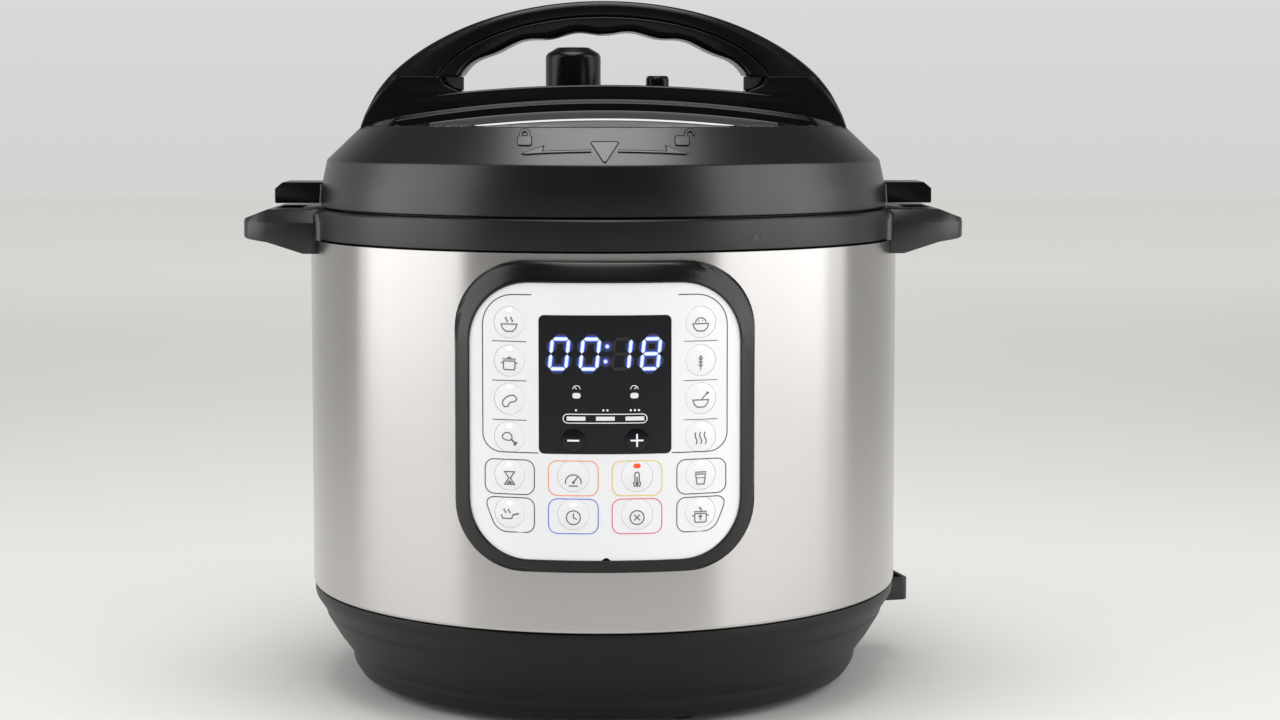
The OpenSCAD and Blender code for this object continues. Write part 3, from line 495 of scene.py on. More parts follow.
def round_box(w, h, r, steps=14, span=3.0):
    """A rectangle with round corners, from its upper right corner round, with its straight sides cut up."""
    corners = []
    for sx, sz, a0 in [(1, 1, 0), (-1, 1, 90), (-1, -1, 180), (1, -1, 270)]:
        for k in range(steps + 1):
            a = math.radians(a0 + 90 * k / steps)
            corners.append((sx * (w / 2 - r) + r * math.cos(a), sz * (h / 2 - r) + r * math.sin(a)))
    out = []
    for p, q in zip(corners, corners[1:] + corners[:1]):
        cuts = max(1, int(math.dist(p, q) / span))
        out += [(p[0] + (q[0] - p[0]) * c / cuts, p[1] + (q[1] - p[1]) * c / cuts) for c in range(cuts)]
    return out


def wrap(x, z, r):
    """A point of the flat front view on the upright cylinder of radius r."""
    return x, -math.sqrt(max(r * r - x * x, 0.0)), z


def bezel():
    """Rings of the frame's outline, each at its own inset and radius, joined into a skin."""
    rings = [(0.0, 137.6), (0.0, 139.9), (0.2, 140.7), (0.7, 141.4), (1.6, 142.0), (3.0, 142.85),
             (4.4, 143.65), (5.4, 144.2), (5.9, 144.45), (6.2, 144.4), (6.45, 144.1), (FRAME_W, 143.8),
             (FRAME_W, 141.4)]
    verts = []
    for inset, r in rings:
        inward = inset / FRAME_W
        loop = round_box(PANEL_W - 2 * inset, PANEL_H - (PANEL_H - FACE_H) * inward,
                         PANEL_ROUND - inset * 0.62)
        verts += [wrap(x, z + PANEL_Z + (FACE_Z - PANEL_Z) * inward, r) for x, z in loop]
    faces = ring_faces(len(rings), len(verts) // len(rings))
    add_piece("bezel_skin", verts, faces, bezel_black, "housing", angle=50, slot="gloss_black",
              stands_for=["panel_bezel"])


bezel()

# ---------------------------------------------------------------------------
# Panel face. A silver-white printed film over a moulded backing; the window
# is smoked acrylic, and the round keys show as low domes in the film.


def film(name, outer, holes, centre, r, mat, slot, node):
    """A curved sheet on the front from flat outlines, triangulated on a grid and wrapped, with its edge."""
    grid, thick = 3.2, 1.2
    loops = [[(x + centre[0], z + centre[1]) for x, z in loop] for loop in [outer, *holes]]
    rim = [p for loop in loops for p in loop]
    edges = []
    for loop in loops:
        first = len(edges)
        edges += [(first + i, first + (i + 1) % len(loop)) for i in range(len(loop))]

    def inside(x, z, loop):
        hit = False
        for (x0, z0), (x1, z1) in zip(loop, loop[1:] + loop[:1]):
            if (z0 > z) != (z1 > z) and x < (x1 - x0) * (z - z0) / (z1 - z0) + x0:
                hit = not hit
        return hit

    def solid(x, z):
        return inside(x, z, loops[0]) and not any(inside(x, z, hole) for hole in loops[1:])

    pts = [Vector(p) for p in rim]
    right, top = (max(p[i] for p in loops[0]) for i in (0, 1))
    x = min(p[0] for p in loops[0]) + grid / 2
    while x < right:
        z = min(p[1] for p in loops[0]) + grid / 2
        while z < top:
            if solid(x, z) and all(math.dist((x, z), p) > grid * 0.3 for p in rim):
                pts.append(Vector((x, z)))
            z += grid
        x += grid
    found, _, tris, *_ = geometry.delaunay_2d_cdt(pts, edges, [], 0, 1e-6)
    keep = [tuple(t) for t in tris
            if solid(sum(found[i].x for i in t) / 3, sum(found[i].y for i in t) / 3)]
    verts = [wrap(p.x, p.y, r) for p in found] + [wrap(p.x, p.y, r - thick) for p in found]
    return add_piece(name, verts, keep + edge_walls(keep, len(found)), mat, "housing", angle=40, slot=slot,
                     stands_for=[node])


def edge_walls(faces, n):
    """Quads from each open edge of the faces down to the same points n places on."""
    sides = dict.fromkeys((a, b) for f in faces for a, b in zip(f, f[1:] + f[:1]))
    return [(b, a, a + n, b + n) for a, b in sides if (b, a) not in sides]


def ring_loop(x, z, r, n=40):
    """A circle as points."""
    return [(x + r * math.cos(2 * math.pi * k / n), z + r * math.sin(2 * math.pi * k / n)) for k in range(n)]


face_film = finish_of("face_silver", linear(226, 227, 230), 0.34, drift=0.015, rough_drift=0.02, grain=0.015,
                      pitch=0.25)
smoked_window = finish_of("window_black", linear(17, 18, 22), 0.14, drift=0.05, rough_drift=0.01, grain=0.0,
                          pitch=3, fixed={"Specular IOR Level": 0.3})

FACE_R, FACE_ROUND, FACE_CLEAR = 143.6, 24.95, 0.05
WINDOW_W, WINDOW_H, WINDOW_Z = 55.3, 58.0, 152.8
WINDOW_R, WINDOW_ROUND, WINDOW_CLEAR = FACE_R + 0.1, 2.3, 0.05
KEY_X = (-40.0, -13.3, 13.3, 40.0)
KEY_R, SMALL_R, KEY_CLEAR, DOME = 6.6, 5.0, 0.05, 0.45
KEY_Z = [178.5 - 16 * i for i in range(6)]
SMALL_Z = 129.5
KEYS = {}
for i in range(4):
    KEYS[f"key_left_{i + 1}"] = (KEY_X[0], KEY_Z[i], KEY_R)
    KEYS[f"key_right_{i + 1}"] = (KEY_X[3], KEY_Z[i], KEY_R)
for i in range(8):
    KEYS[f"key_lower_{i + 1}"] = (KEY_X[i % 4], KEY_Z[4 + i // 4], KEY_R)
KEYS["key_minus"] = (KEY_X[1], SMALL_Z, SMALL_R)
KEYS["key_plus"] = (KEY_X[2], SMALL_Z, SMALL_R)


def key_holes(radius, centre_z):
    """The outlines of the keys of one size in the front view; a key stands square to the curved face."""
    holes = []
    for kx, kz, r in KEYS.values():
        if r == radius:
            narrow = math.cos(math.asin(kx / FACE_R))
            round_hole = ring_loop(kx, kz - centre_z, r + KEY_CLEAR)
            holes.append([(kx + (x - kx) * narrow, z) for x, z in round_hole])
    return holes


window_hole = round_box(WINDOW_W + 2 * WINDOW_CLEAR, WINDOW_H + 2 * WINDOW_CLEAR, WINDOW_ROUND + WINDOW_CLEAR)
face_edge = round_box(PANEL_W - 2 * FRAME_W - 2 * FACE_CLEAR, FACE_H - 2 * FACE_CLEAR, FACE_ROUND)
film("face_film", face_edge,
     [[(x, z + WINDOW_Z - FACE_Z) for x, z in window_hole]] + key_holes(KEY_R, FACE_Z),
     (0, FACE_Z), FACE_R, face_film, "face_white", "panel_overlay")
film("window_skin", round_box(WINDOW_W, WINDOW_H, WINDOW_ROUND), key_holes(SMALL_R, WINDOW_Z),
     (0, WINDOW_Z), WINDOW_R, smoked_window, "window_black", "display_window")


def key_cap(name, x, z, r):
    """A low dome with a rounded rim, square to the face, on the stem that works its switch."""
    a = math.asin(x / FACE_R)
    out = Vector((math.sin(a), -math.cos(a), 0))
    side = Vector((math.cos(a), math.sin(a), 0))
    stem = [(2.2, -9.0), (2.2, -2.6)]
    flange = [(r + 0.8, -2.6), (r + 0.8, -1.6), (r, -1.6)]
    rim = [(r, -0.25), (r - 0.12, 0.0)]
    dome = [(r * (1 - k / 7) * 0.97, DOME * (1 - (1 - k / 7) ** 2)) for k in range(1, 7)]
    rings = stem + flange + rim + dome
    verts, n = [], 48
    for radius, height in rings:
        for k in range(n):
            b = 2 * math.pi * k / n
            p = out * (FACE_R + height) + side * (radius * math.cos(b))
            verts.append((p.x, p.y, z + radius * math.sin(b)))
    p = out * (FACE_R + DOME)
    verts.append((p.x, p.y, z))
    last = (len(rings) - 1) * n
    faces = ring_faces(len(rings), n) + [(last + i, last + (i + 1) % n, last + n) for i in range(n)]
    on_window = r == SMALL_R
    add_piece(name + "_cap", verts, faces, smoked_window if on_window else face_film, name, angle=50,
              slot="window_black" if on_window else "face_white", stands_for=[name])


for name, (x, z, r) in KEYS.items():
    key_cap(name, x, z, r)

# ---------------------------------------------------------------------------
# Printing on the panel. Screen-printed inks on the film and the window: thin
# frames, coloured key outlines, small symbols on the keys, and lamp windows.


def stroke(points, width, closed=False):
    """A line of even width as (points, faces), mitred at its corners."""
    n = len(points)
    left, right = [], []
    for i, (x, z) in enumerate(points):
        if closed:
            p, q = points[i - 1], points[(i + 1) % n]
        else:
            p, q = points[max(i - 1, 0)], points[min(i + 1, n - 1)]
        a, b = Vector((x - p[0], z - p[1])), Vector((q[0] - x, q[1] - z))
        a = a.normalized() if a.length > 1e-6 else b.normalized()
        b = b.normalized() if b.length > 1e-6 else a
        t = (a + b).normalized()
        k = width / 2 / max(t.dot(b), 0.45)
        left.append((x - t.y * k, z + t.x * k))
        right.append((x + t.y * k, z - t.x * k))
    last = n if closed else n - 1
    return left + right, [(i, (i + 1) % n, n + (i + 1) % n, n + i) for i in range(last)]


def blob(outline):
    """A filled outline as (points, faces)."""
    tris = geometry.tessellate_polygon([[Vector((x, z, 0)) for x, z in outline]])
    return list(outline), [tuple(t) for t in tris]


def arc(x, z, r, a0, a1, n=14):
    """Points on a circle from the angle a0 to a1."""
    return [(x + r * math.cos(math.radians(a0 + (a1 - a0) * k / n)),
             z + r * math.sin(math.radians(a0 + (a1 - a0) * k / n))) for k in range(n + 1)]


def ring(r, width):
    return stroke(ring_loop(0, 0, r, 26), width, True)


def dot(x, z, r):
    return blob(ring_loop(x, z, r, 18))


def cut_up(pts, polys, longest):
    """The flat faces with every edge over a length divided, so that they follow a curved surface."""
    bm = bmesh.new()
    corners = [bm.verts.new((x, z, 0)) for x, z in pts]
    for f in polys:
        if len(set(f)) == len(f):
            bm.faces.new([corners[i] for i in f])
    for _ in range(6):
        far = [e for e in bm.edges if e.calc_length() > longest]
        if not far:
            break
        bmesh.ops.subdivide_edges(bm, edges=far, cuts=1)
        bmesh.ops.triangulate(bm, faces=[f for f in bm.faces if len(f.verts) > 4])
    bm.verts.ensure_lookup_table()
    bm.verts.index_update()
    out = [(v.co.x, v.co.y) for v in bm.verts], [tuple(v.index for v in f.verts) for f in bm.faces]
    bm.free()
    return out


def marks(name, shapes, place, mat, body, at=(0, 0), size=1.0, deep=0.0, lift=0.05, slot=None):
    """Flat shapes laid on a surface by place(x, z, lift); deep adds the sides of a raised mark."""
    verts, faces = [], []
    for pts, polys in shapes:
        pts, polys = cut_up(pts, polys, 1.0 / size)
        first = len(verts)
        flat = [(at[0] + x * size, at[1] + z * size) for x, z in pts]
        verts += [place(x, z, lift) for x, z in flat]
        if deep:
            verts += [place(x, z, lift - deep) for x, z in flat]
            polys = polys + edge_walls(polys, len(flat))
        faces += [tuple(first + i for i in f) for f in polys]
    return add_piece(name, verts, faces, mat, body, angle=35, slot=slot)


def on_face(x, z, lift):
    return wrap(x, z, FACE_R + lift)


def on_window(x, z, lift):
    return wrap(x, z, WINDOW_R + lift)


def on_key(kx, kz, r):
    """The surface of the dome of the key at kx, kz."""
    narrow = math.cos(math.asin(kx / FACE_R))

    def place(x, z, lift):
        off = ((x - kx) / narrow) ** 2 + (z - kz) ** 2
        return wrap(x, z, FACE_R + DOME * max(0.0, 1 - off / (r * r)) + lift)

    return place


def ink(name, colour, rough=0.45):
    return finish_of(name, colour, rough, drift=0.06, grain=0.0)


def glow(name, colour, strength, body_colour=(0.02, 0.02, 0.02)):
    """A lit lamp or segment behind the surface."""
    mat, v = new_material(name)
    slow = v.node("TexNoise", Vector=v.node("TexCoord", out="Object"), Scale=300.0)
    return close_material(mat, {"Base Color": body_colour, "Roughness": 0.4, "Emission Strength": strength},
                          Emission_Color=slow.blend(scaled(colour, 0.96), scaled(colour, 1.04)))


dark_ink = ink("ink_dark", linear(52, 54, 60))
grey_ink = ink("ink_grey", linear(96, 98, 104))
orange_ink = ink("ink_orange", linear(238, 146, 92))
yellow_ink = ink("ink_yellow", linear(226, 196, 92))
blue_ink = ink("ink_blue", linear(70, 108, 208))
red_ink = ink("ink_red", linear(222, 74, 98))
white_ink = ink("ink_white", linear(232, 234, 238), 0.4)
lamp_off = ink("lamp_white", linear(246, 247, 250), 0.3)
lamp_on = glow("lamp_lit", linear(214, 74, 28), 0.75, linear(180, 60, 30))

FINE = 0.34
FRAME_TOP, FRAME_LOW, FRAME_X = 190.2, 124.0, 51.3
RULE_Z = (170.6, 154.1, 137.6)
# painted shade: a near-black flat ink, laid round the feet of the raised marks on the chamfer and in the
# drain notch, where shade falls
painted_shade = finish_of("painted_shade_black", linear(5, 6, 7), 0.6, grain=0.0, fixed={"Specular IOR Level": 0.1})


def column_frame(where, side):
    """The thin frame round one column of keys, and the lines between its keys."""
    x, top_round, low_round = FRAME_X * side, 13.0, 8
    outward = 180 if side < 0 else 0
    down = 270 if side < 0 else -90
    top = arc(x - side * top_round, FRAME_TOP - top_round, top_round, 90, outward, 12)
    low = arc(x - side * low_round, FRAME_LOW + low_round, low_round, outward, down, 10)
    upright = [(x, top[-1][1] + (low[0][1] - top[-1][1]) * k / 4) for k in (1, 2, 3)]
    end_x = 27.9 * side
    foot = [(end_x + (low[-1][0] - end_x) * k / 6, FRAME_LOW) for k in range(5, -1, -1)]
    frame_line = [(30.6 * side, FRAME_TOP), *top, *upright, *low, *foot]
    marks(f"column_frame_{where}", [stroke(frame_line, 0.42)], on_face, dark_ink, "housing")
    rules = [stroke([(side * 40 + x, z) for x in (-7.2, -2.4, 2.4, 7.2)], FINE) for z in RULE_Z]
    marks(f"column_rules_{where}", rules, on_face, dark_ink if side < 0 else grey_ink, "housing")


for where, side in SIDES:
    column_frame(where, side)

# painted shade: the drain notch is a flat near-black patch on the face, standing in for the shade inside the
# notch
marks("drain_notch", [blob([(-2.0, -0.3), (2.0, -0.3), (1.1, 0.45), (0.5, 0.8), (-0.5, 0.8), (-1.1, 0.45)])],
      on_face, painted_shade, "housing", at=(0.4, 79.25), slot="satin_black")


def key_outline(number, mat, corner=0, shift=0.0):
    """A lower key's printed frame; one lower corner is cut back where it follows the panel's corner."""
    x0, z0 = KEY_X[number % 4] + shift, KEY_Z[4 + number // 4] - 0.9
    w, h = 20.8, 14.6
    loop = [(x - corner * max(0.0, (h / 2 - z) / h) ** 1.4 * 5.4 if x * corner > 0 else x, z)
            for x, z in round_box(w, h, 3.8, 7)]
    marks(f"key_outline_{number + 1}", [stroke([(x0 + x, z0 + z) for x, z in loop], 0.40, True)],
          on_face, mat, "housing")


for i, mat in enumerate([dark_ink, orange_ink, yellow_ink, dark_ink, dark_ink, blue_ink, red_ink, dark_ink]):
    key_outline(i, mat, {4: -1, 7: 1}.get(i, 0), 0.4 if i % 4 == 3 else 0.0)

LINE = 0.42


def wave(x, z0, z1, n=8):
    """A wavy upright line, for steam or heat."""
    points = [(x + 0.35 * math.sin(2 * math.pi * k / n), z0 + (z1 - z0) * k / n) for k in range(n + 1)]
    return stroke(points, LINE)


bowl = stroke([(-2.7, 0.2), (2.7, 0.2), (2.3, -1.2), (1.2, -2.3), (-1.2, -2.3), (-2.3, -1.2)], LINE, True)
pot = stroke([(-2.0, 0.6), (2.0, 0.6), (2.0, -2.0), (1.6, -2.4), (-1.6, -2.4), (-2.0, -2.0)], LINE, True)
pot_lugs = [stroke([(-2.9, -0.1), (-2.1, -0.1)], LINE), stroke([(2.1, -0.1), (2.9, -0.1)], LINE)]
pot_top = [stroke([(-2.3, 1.3), (2.3, 1.3)], LINE), stroke(arc(0, 1.35, 0.6, 0, 180, 8), LINE)]
leaf = [(0, 0), (0.55, 0.55), (0.95, 1.25), (0.25, 0.9)]
leaves = [blob([(x * side, z + up) for x, z in leaf]) for up in (-1.7, -0.6, 0.5) for side in (1, -1)]

symbols = {
    "key_left_1": [bowl, wave(-0.9, 0.9, 2.6), wave(0.9, 0.9, 2.6)],
    "key_left_2": [pot, *pot_lugs, *pot_top],
    "key_left_3": [stroke([(2.4, 1.2), (1.5, 2.0), (0.2, 1.9), (-1.2, 1.2), (-2.2, 0.0), (-2.4, -1.3),
                           (-1.6, -2.1), (-0.5, -1.9), (-0.1, -1.0), (0.6, -0.4), (1.8, -0.2), (2.5, 0.4)],
                          LINE, True)],
    "key_left_4": [stroke([(-2.5, 1.0), (-1.6, 2.1), (-0.2, 2.2), (0.8, 1.3), (0.9, 0.1), (0.1, -0.5),
                           (-1.2, -0.4), (-2.3, 0.1)], LINE, True), stroke([(0.6, -0.1), (1.9, -1.4)], 0.6),
                   dot(2.3, -1.3, 0.45), dot(1.8, -1.9, 0.45)],
    "key_right_1": [bowl, stroke(arc(0, 0.3, 1.9, 8, 172), LINE), dot(-0.7, 1.1, 0.22), dot(0.6, 1.3, 0.22)],
    "key_right_2": [stroke([(0, -2.6), (0, 1.6)], FINE), *leaves, dot(0, 2.0, 0.42)],
    "key_right_3": [bowl, stroke([(0.4, 0.5), (2.2, 2.4)], LINE), dot(2.35, 2.5, 0.5)],
    "key_right_4": [wave(-1.6, -2.0, 2.2, 12), wave(0, -2.0, 2.2, 12), wave(1.6, -2.0, 2.2, 12)],
    "key_lower_1": [stroke([(-1.7, 2.2), (1.7, 2.2), (0.25, 0.0), (1.7, -2.2), (-1.7, -2.2), (-0.25, 0.0)],
                           LINE, True), blob([(-1.1, -1.9), (1.1, -1.9), (0, -0.7)])],
    "key_lower_2": [stroke(arc(0, -1.0, 2.7, -10, 190, 18), LINE), stroke([(0, -1.0), (1.4, 0.9)], 0.5),
                    dot(0, -1.0, 0.5), stroke([(-1.6, -2.2), (1.6, -2.2)], LINE)],
    "key_lower_3": [stroke([(-0.75, 2.0), (-0.4, 2.5), (0.4, 2.5), (0.75, 2.0), (0.75, -0.5), (1.25, -1.3),
                            (0.9, -2.3), (-0.9, -2.3), (-1.25, -1.3), (-0.75, -0.5)], LINE, True),
                    stroke([(0, 0.9), (0, -1.2)], 0.5), dot(0, -1.4, 0.65)],
    "key_lower_4": [stroke([(-1.7, 1.2), (1.7, 1.2), (1.25, -2.3), (-1.25, -2.3)], LINE, True),
                    stroke([(-2.0, 1.9), (2.0, 1.9)], LINE), stroke([(-1.5, -0.1), (1.5, -0.1)], 0.3)],
    "key_lower_5": [stroke([(-2.9, 0.5), (-2.5, -0.9), (0.7, -0.9), (1.1, 0.5)], LINE),
                    stroke([(1.1, 0.4), (3.2, 0.9)], 0.55), wave(-1.7, 1.0, 2.4), wave(-0.2, 1.0, 2.4)],
    "key_lower_6": [ring(2.4, LINE), stroke([(0, 1.6), (0, 0), (1.2, -0.6)], LINE)],
    "key_lower_7": [ring(2.4, LINE), stroke([(-1, -1), (1, 1)], LINE), stroke([(-1, 1), (1, -1)], LINE)],
    "key_lower_8": [pot, *pot_lugs, stroke([(-2.3, 1.3), (2.3, 1.3)], LINE),
                    stroke([(0, -1.7), (0, 0.0)], LINE), stroke([(-0.6, -0.6), (0, 0.05), (0.6, -0.6)], LINE),
                    wave(0, 1.7, 2.9)],
}
SYMBOL_SIZE = 1.22
SYMBOL_DOWN = (0.9, 0.9, 0.9, 0.9, 1.4, 1.4)
LAMP_UP = (5.3, 5.1, 4.9, 4.5, 4.3, 3.9)
NO_LAMP = ("key_lower_2", "key_lower_7")
lamp = blob(round_box(3.0, 1.9, 0.85, 5))
for name, shapes in symbols.items():
    x, z, r = KEYS[name]
    row = KEY_Z.index(z)
    marks(name + "_symbol", shapes, on_key(x, z, r), grey_ink, name, at=(x, z - SYMBOL_DOWN[row]),
          size=SYMBOL_SIZE)
    if name not in NO_LAMP:
        marks(name + "_lamp", [lamp], on_key(x, z, r), lamp_on if name == "key_lower_3" else lamp_off, name,
              at=(x, z + LAMP_UP[row]), lift=0.06)

minus = [stroke([(-2.5, 0), (2.5, 0)], 0.75)]
plus = [stroke([(-2.7, 0), (2.7, 0)], 0.72), stroke([(0, -2.7), (0, 2.7)], 0.72)]
for name, shapes in (("key_minus", minus), ("key_plus", plus)):
    x, z, r = KEYS[name]
    marks(name + "_symbol", shapes, on_key(x, z, r), white_ink, name, at=(x, z))

# ---------------------------------------------------------------------------
# Display. A blue seven-segment module shines through the smoked window, with
# two small lamps and a level bar below it.

DIGIT_W, DIGIT_H, DIGIT_Z, DIGIT_EDGE = 8.5, 14.2, 165.7, 0.85
DIGIT_3_X, SLANT = 6.9, math.tan(math.radians(6))
LAMP_Z, GAUGE_Z, BAR_Z, DOTS_Z = 148.3, 151.7, 138.7, 142.2


def segments(which, thick, grow):
    """Seven-segment shapes: a top, b and c right, d bottom, e and f left, g middle."""
    w, h, t = DIGIT_W / 2 - DIGIT_EDGE, DIGIT_H / 2 - DIGIT_EDGE, thick / 2
    gap = (DIGIT_EDGE - grow) * 0.35
    level = {"a": h, "g": 0.0, "d": -h}
    upright = {"b": (w, 1), "c": (w, -1), "f": (-w, 1), "e": (-w, -1)}
    out = []
    for s in which:
        if s in level:
            z, e = level[s], w - gap
            out.append([(-e, z), (-e + t, z + t), (e - t, z + t), (e, z), (e - t, z - t), (-e + t, z - t)])
        else:
            x, up = upright[s]
            low, high = gap, h - gap
            out.append([(x, up * high), (x + t, up * (high - t)), (x + t, up * (low + t)), (x, up * low),
                        (x - t, up * (low + t)), (x - t, up * (high - t))])
    return [blob([(x + z * SLANT, z) for x, z in outline]) for outline in out]


# each lit segment is a stack: its stroke's width, how far its ends reach, its colour and its height; the
# wider, dimmer layers round the bright core are painted glow, the halo of the segment's light in the window
GLOW_LAYERS = (
    (4.3, 1.25, linear(14, 17, 44), 0.012), (3.5, 0.9, linear(11, 20, 78), 0.02),
    (2.75, 0.6, linear(12, 36, 140), 0.03), (2.05, 0.3, linear(40, 92, 236), 0.04),
    (1.6, 0.12, linear(150, 188, 255), 0.05), (1.15, 0.0, linear(244, 250, 255), 0.06))
DIGITS = {"digit_1": (-19.1, "abcdef"), "digit_2": (-6.3, "abcdef"), "digit_3": (DIGIT_3_X, "bc"),
          "digit_4": (19.1, "abcdefg")}
for k, (thick, grow, colour, lift) in enumerate(GLOW_LAYERS):
    mat = glow(f"segment_{k + 1}", colour, 1.0)
    for name, (x, lit) in DIGITS.items():
        marks(f"{name}_layer_{k + 1}", segments(lit, thick, grow), on_window, mat, "housing", at=(x, DIGIT_Z),
              lift=lift)
    colon = [dot(0.9, 3.2, thick * 0.55), dot(0.2, -3.1, thick * 0.55)]
    marks(f"colon_layer_{k + 1}", colon, on_window, mat, "housing", at=(0, DIGIT_Z), lift=lift)
unlit = ink("segment_unlit", linear(38, 34, 36), 0.3)
marks("digit_3_unlit", segments("adefg", 1.3, 0.0), on_window, unlit, "housing", at=(DIGIT_3_X, DIGIT_Z),
      lift=0.03)

lamp_white = glow("lamp_window", linear(240, 240, 244), 0.9)
for level, side, x in (("low", -1, -11.9), ("high", 1, 12.2)):
    marks(f"pressure_lamp_{level}", [blob(round_box(3.4, 2.3, 1.0, 5))], on_window, lamp_white, "housing",
          at=(x, LAMP_Z))
    gauge = [stroke(arc(0, -0.8, 1.7, 0, 180, 12), FINE), stroke([(0, -0.8), (side * 0.9, 0.35)], FINE)]
    marks(f"gauge_{level}", gauge, on_window, white_ink, "housing", at=(x, GAUGE_Z), size=0.9)
marks("level_bar", [stroke(round_box(35.0, 3.7, 1.84, 6), 0.36, True)], on_window, white_ink, "housing",
      at=(0.0, BAR_Z))
level_window = blob([(-3.9, -0.85), (3.9, -0.85), (3.9, 0.85), (-3.9, 0.85)])
for k, x in enumerate((-12.1, 0.1, 12.4)):
    marks(f"level_{k + 1}", [level_window], on_window, lamp_white, "housing", at=(x, BAR_Z))
    dots = [dot((j - k / 2) * 1.7, 0, 0.45) for j in range(k + 1)]
    marks(f"level_dots_{k + 1}", dots, on_window, white_ink, "housing", at=(x, DOTS_Z))

# ---------------------------------------------------------------------------
# Power inlet and rear cup. The inlet is a black socket block that stands out
# of the base with three upright pins; the cup is smoked polycarbonate and
# slides in a satin black bracket behind the rim.

copy_of("power_inlet", satin, "housing", 0.6, slot="satin_black", segments=3, angle=34)
brass = finish_of("pin_brass", linear(206, 184, 120), 0.3, metal=1.0, grain=0.02, pitch=0.5)
paint(brass, "pin_brass", "inlet_pins")
copy_of("collector_bracket", satin, "housing", 0.4, slot="satin_black", angle=34)
smoked_cup = finish_of("cup_smoke", linear(150, 156, 164), 0.22, grain=0.0, drift=0.05,
                       fixed={"Transmission Weight": 0.75, "IOR": 1.45})
copy_of("condensation_cup", smoked_cup, "cup", 0.5, slot="cup_smoke", angle=34)

# ---------------------------------------------------------------------------
# Inner pot and pressure lid. A lift-out pot and a pressed lid of stainless
# steel, with a silicone ring held by a wire rack; none of it shows while the
# lid is on.

silicone = finish_of("silicone", linear(196, 196, 190), 0.5, grain=0.03, fixed={"Subsurface Weight": 0.1})
paint(bare_steel, "plain_steel", "inner_pot", "pressure_lid", "steam_pipe", "anti_block_shield",
      "release_weight")
paint(silicone, "silicone", "sealing_ring", "float_seal")
paint(zinc, "zinc_steel", "seal_rack", "lid_screws")

# ---------------------------------------------------------------------------
# Lid cover. A satin black moulding: a tall skirt, a chamfer with raised marks
# and a flat top that carries the handle. Two gloss fins at its sides drop into
# the side handles to hold the lid up.

LID_Z0, SKIRT_R, SKIRT_Z1, CREASE_Z, CREASE_R = 221.6, 129.7, 243.5, 259.5, 113.0
OPEN_R, TOP_UNDER = 40.0, 257.0
cover_outline = fillet([
    (130.0, 223.0, 0), (130.4, LID_Z0, 0.3), (132.9, LID_Z0, 0.8), (132.2, 232.0, 40),
    (SKIRT_R, SKIRT_Z1, 2.2), (CREASE_R, CREASE_Z, 2.4), (OPEN_R, CREASE_Z, 0), (OPEN_R, TOP_UNDER, 0),
    (111.5, TOP_UNDER, 1), (127.2, 242.0, 1)], 7)
lathe("cover_skin", cover_outline, satin, "lid", slot="satin_black", angle=24, stands_for=["lid_cover"])

raised_black = finish_of("raised_black", linear(40, 41, 44), 0.3, grain=0.0,
                         fixed={"Specular IOR Level": 0.62})


def on_chamfer(x, z, lift):
    """A point seen at x, z from the front, on the chamfer's cone."""
    r0, z0, r1, z1 = SKIRT_R - 0.4, SKIRT_Z1 + 0.4, CREASE_R + 0.4, CREASE_Z - 0.4
    return wrap(x, z + lift * 0.7, r0 + (z - z0) * (r1 - r0) / (z1 - z0) + lift * 1.2)


def raised(name, solid, edge, at=(0, 0)):
    """A raised mark with a fine near-black line laid flat round its foot, painted shade where the mark meets
    the chamfer.
    """
    marks(name + "_edge", edge, on_chamfer, painted_shade, "lid", slot="satin_black", at=(at[0], at[1] + 0.2),
          lift=0.04)
    marks(name, solid, on_chamfer, raised_black, "lid", slot="satin_black", at=at, deep=0.6, lift=0.4)


def lock_mark(name, at, bow_x, bow_end):
    """A padlock whose bow stands over its case or, when open, beside it."""
    case = round_box(5.8, 3.6, 0.7, 3, 9)
    bow = [(bow_x - 1.7, 1.5), *arc(bow_x, 2.7, 1.7, 180, 0, 10), (bow_x + 1.7, bow_end)]
    raised(name, [blob(case), stroke(bow, 0.8)], [stroke(case, 0.8, True), stroke(bow, 1.5)], at)


LOCKS = {"left": ("mark_lock_shut", (-34.0, 253.6), 0.0, 1.5),
         "right": ("mark_lock_open", (33.0, 253.6), 3.4, 2.4)}
pointer = [(-5.6, 252.6), (-5.0, 253.0), (5.0, 253.0), (5.6, 252.6), (0.5, 245.0), (-0.5, 245.0)]
raised("mark_pointer", [blob(pointer)], [stroke(pointer, 0.8, True)])
for where, side in SIDES:
    shaft = [(side * x, z) for x, z in ((5.6, 249.4), (14, 249.2), (24, 248.9), (34.4, 248.3))]
    head = [(side * x, z) for x, z in ((35.0, 248.2), (26.0, 251.2), (26.6, 248.6))]
    raised(f"mark_arrow_{where}", [stroke(shaft, 0.5), blob(head)],
           [stroke(shaft, 1.1), stroke(head, 0.8, True)])
    lock_mark(*LOCKS[where])


def on_collar(x, z, lift):
    return wrap(x, z, COLLAR_R + lift)


COLLAR_MARK_Z = 213.2
arrow = blob([(-1.6, -1.2), (1.6, -1.2), (0, 1.4)])
stop = stroke([(3.2, -1.2), (3.2, 1.4)], 0.6)
for name, x, shapes in (("shut", 7.0, [arrow]), ("open", 64.0, [arrow, stop])):
    marks(f"collar_mark_{name}", shapes, on_collar, satin, "housing", at=(x, COLLAR_MARK_Z), deep=0.4,
          lift=0.14, slot="satin_black")

handle_black = finish_of("handle_black", linear(7, 8, 10), 0.27, rough_drift=0.03, grain=0.03, pitch=1.0,
                         fixed={"Specular IOR Level": 0.27})
FIN_X, FIN_SHORTER, FIN_UNDER, FIN_RAISE, FIN_FRONT = 140, 0.9, 225, 0.9, 13.9


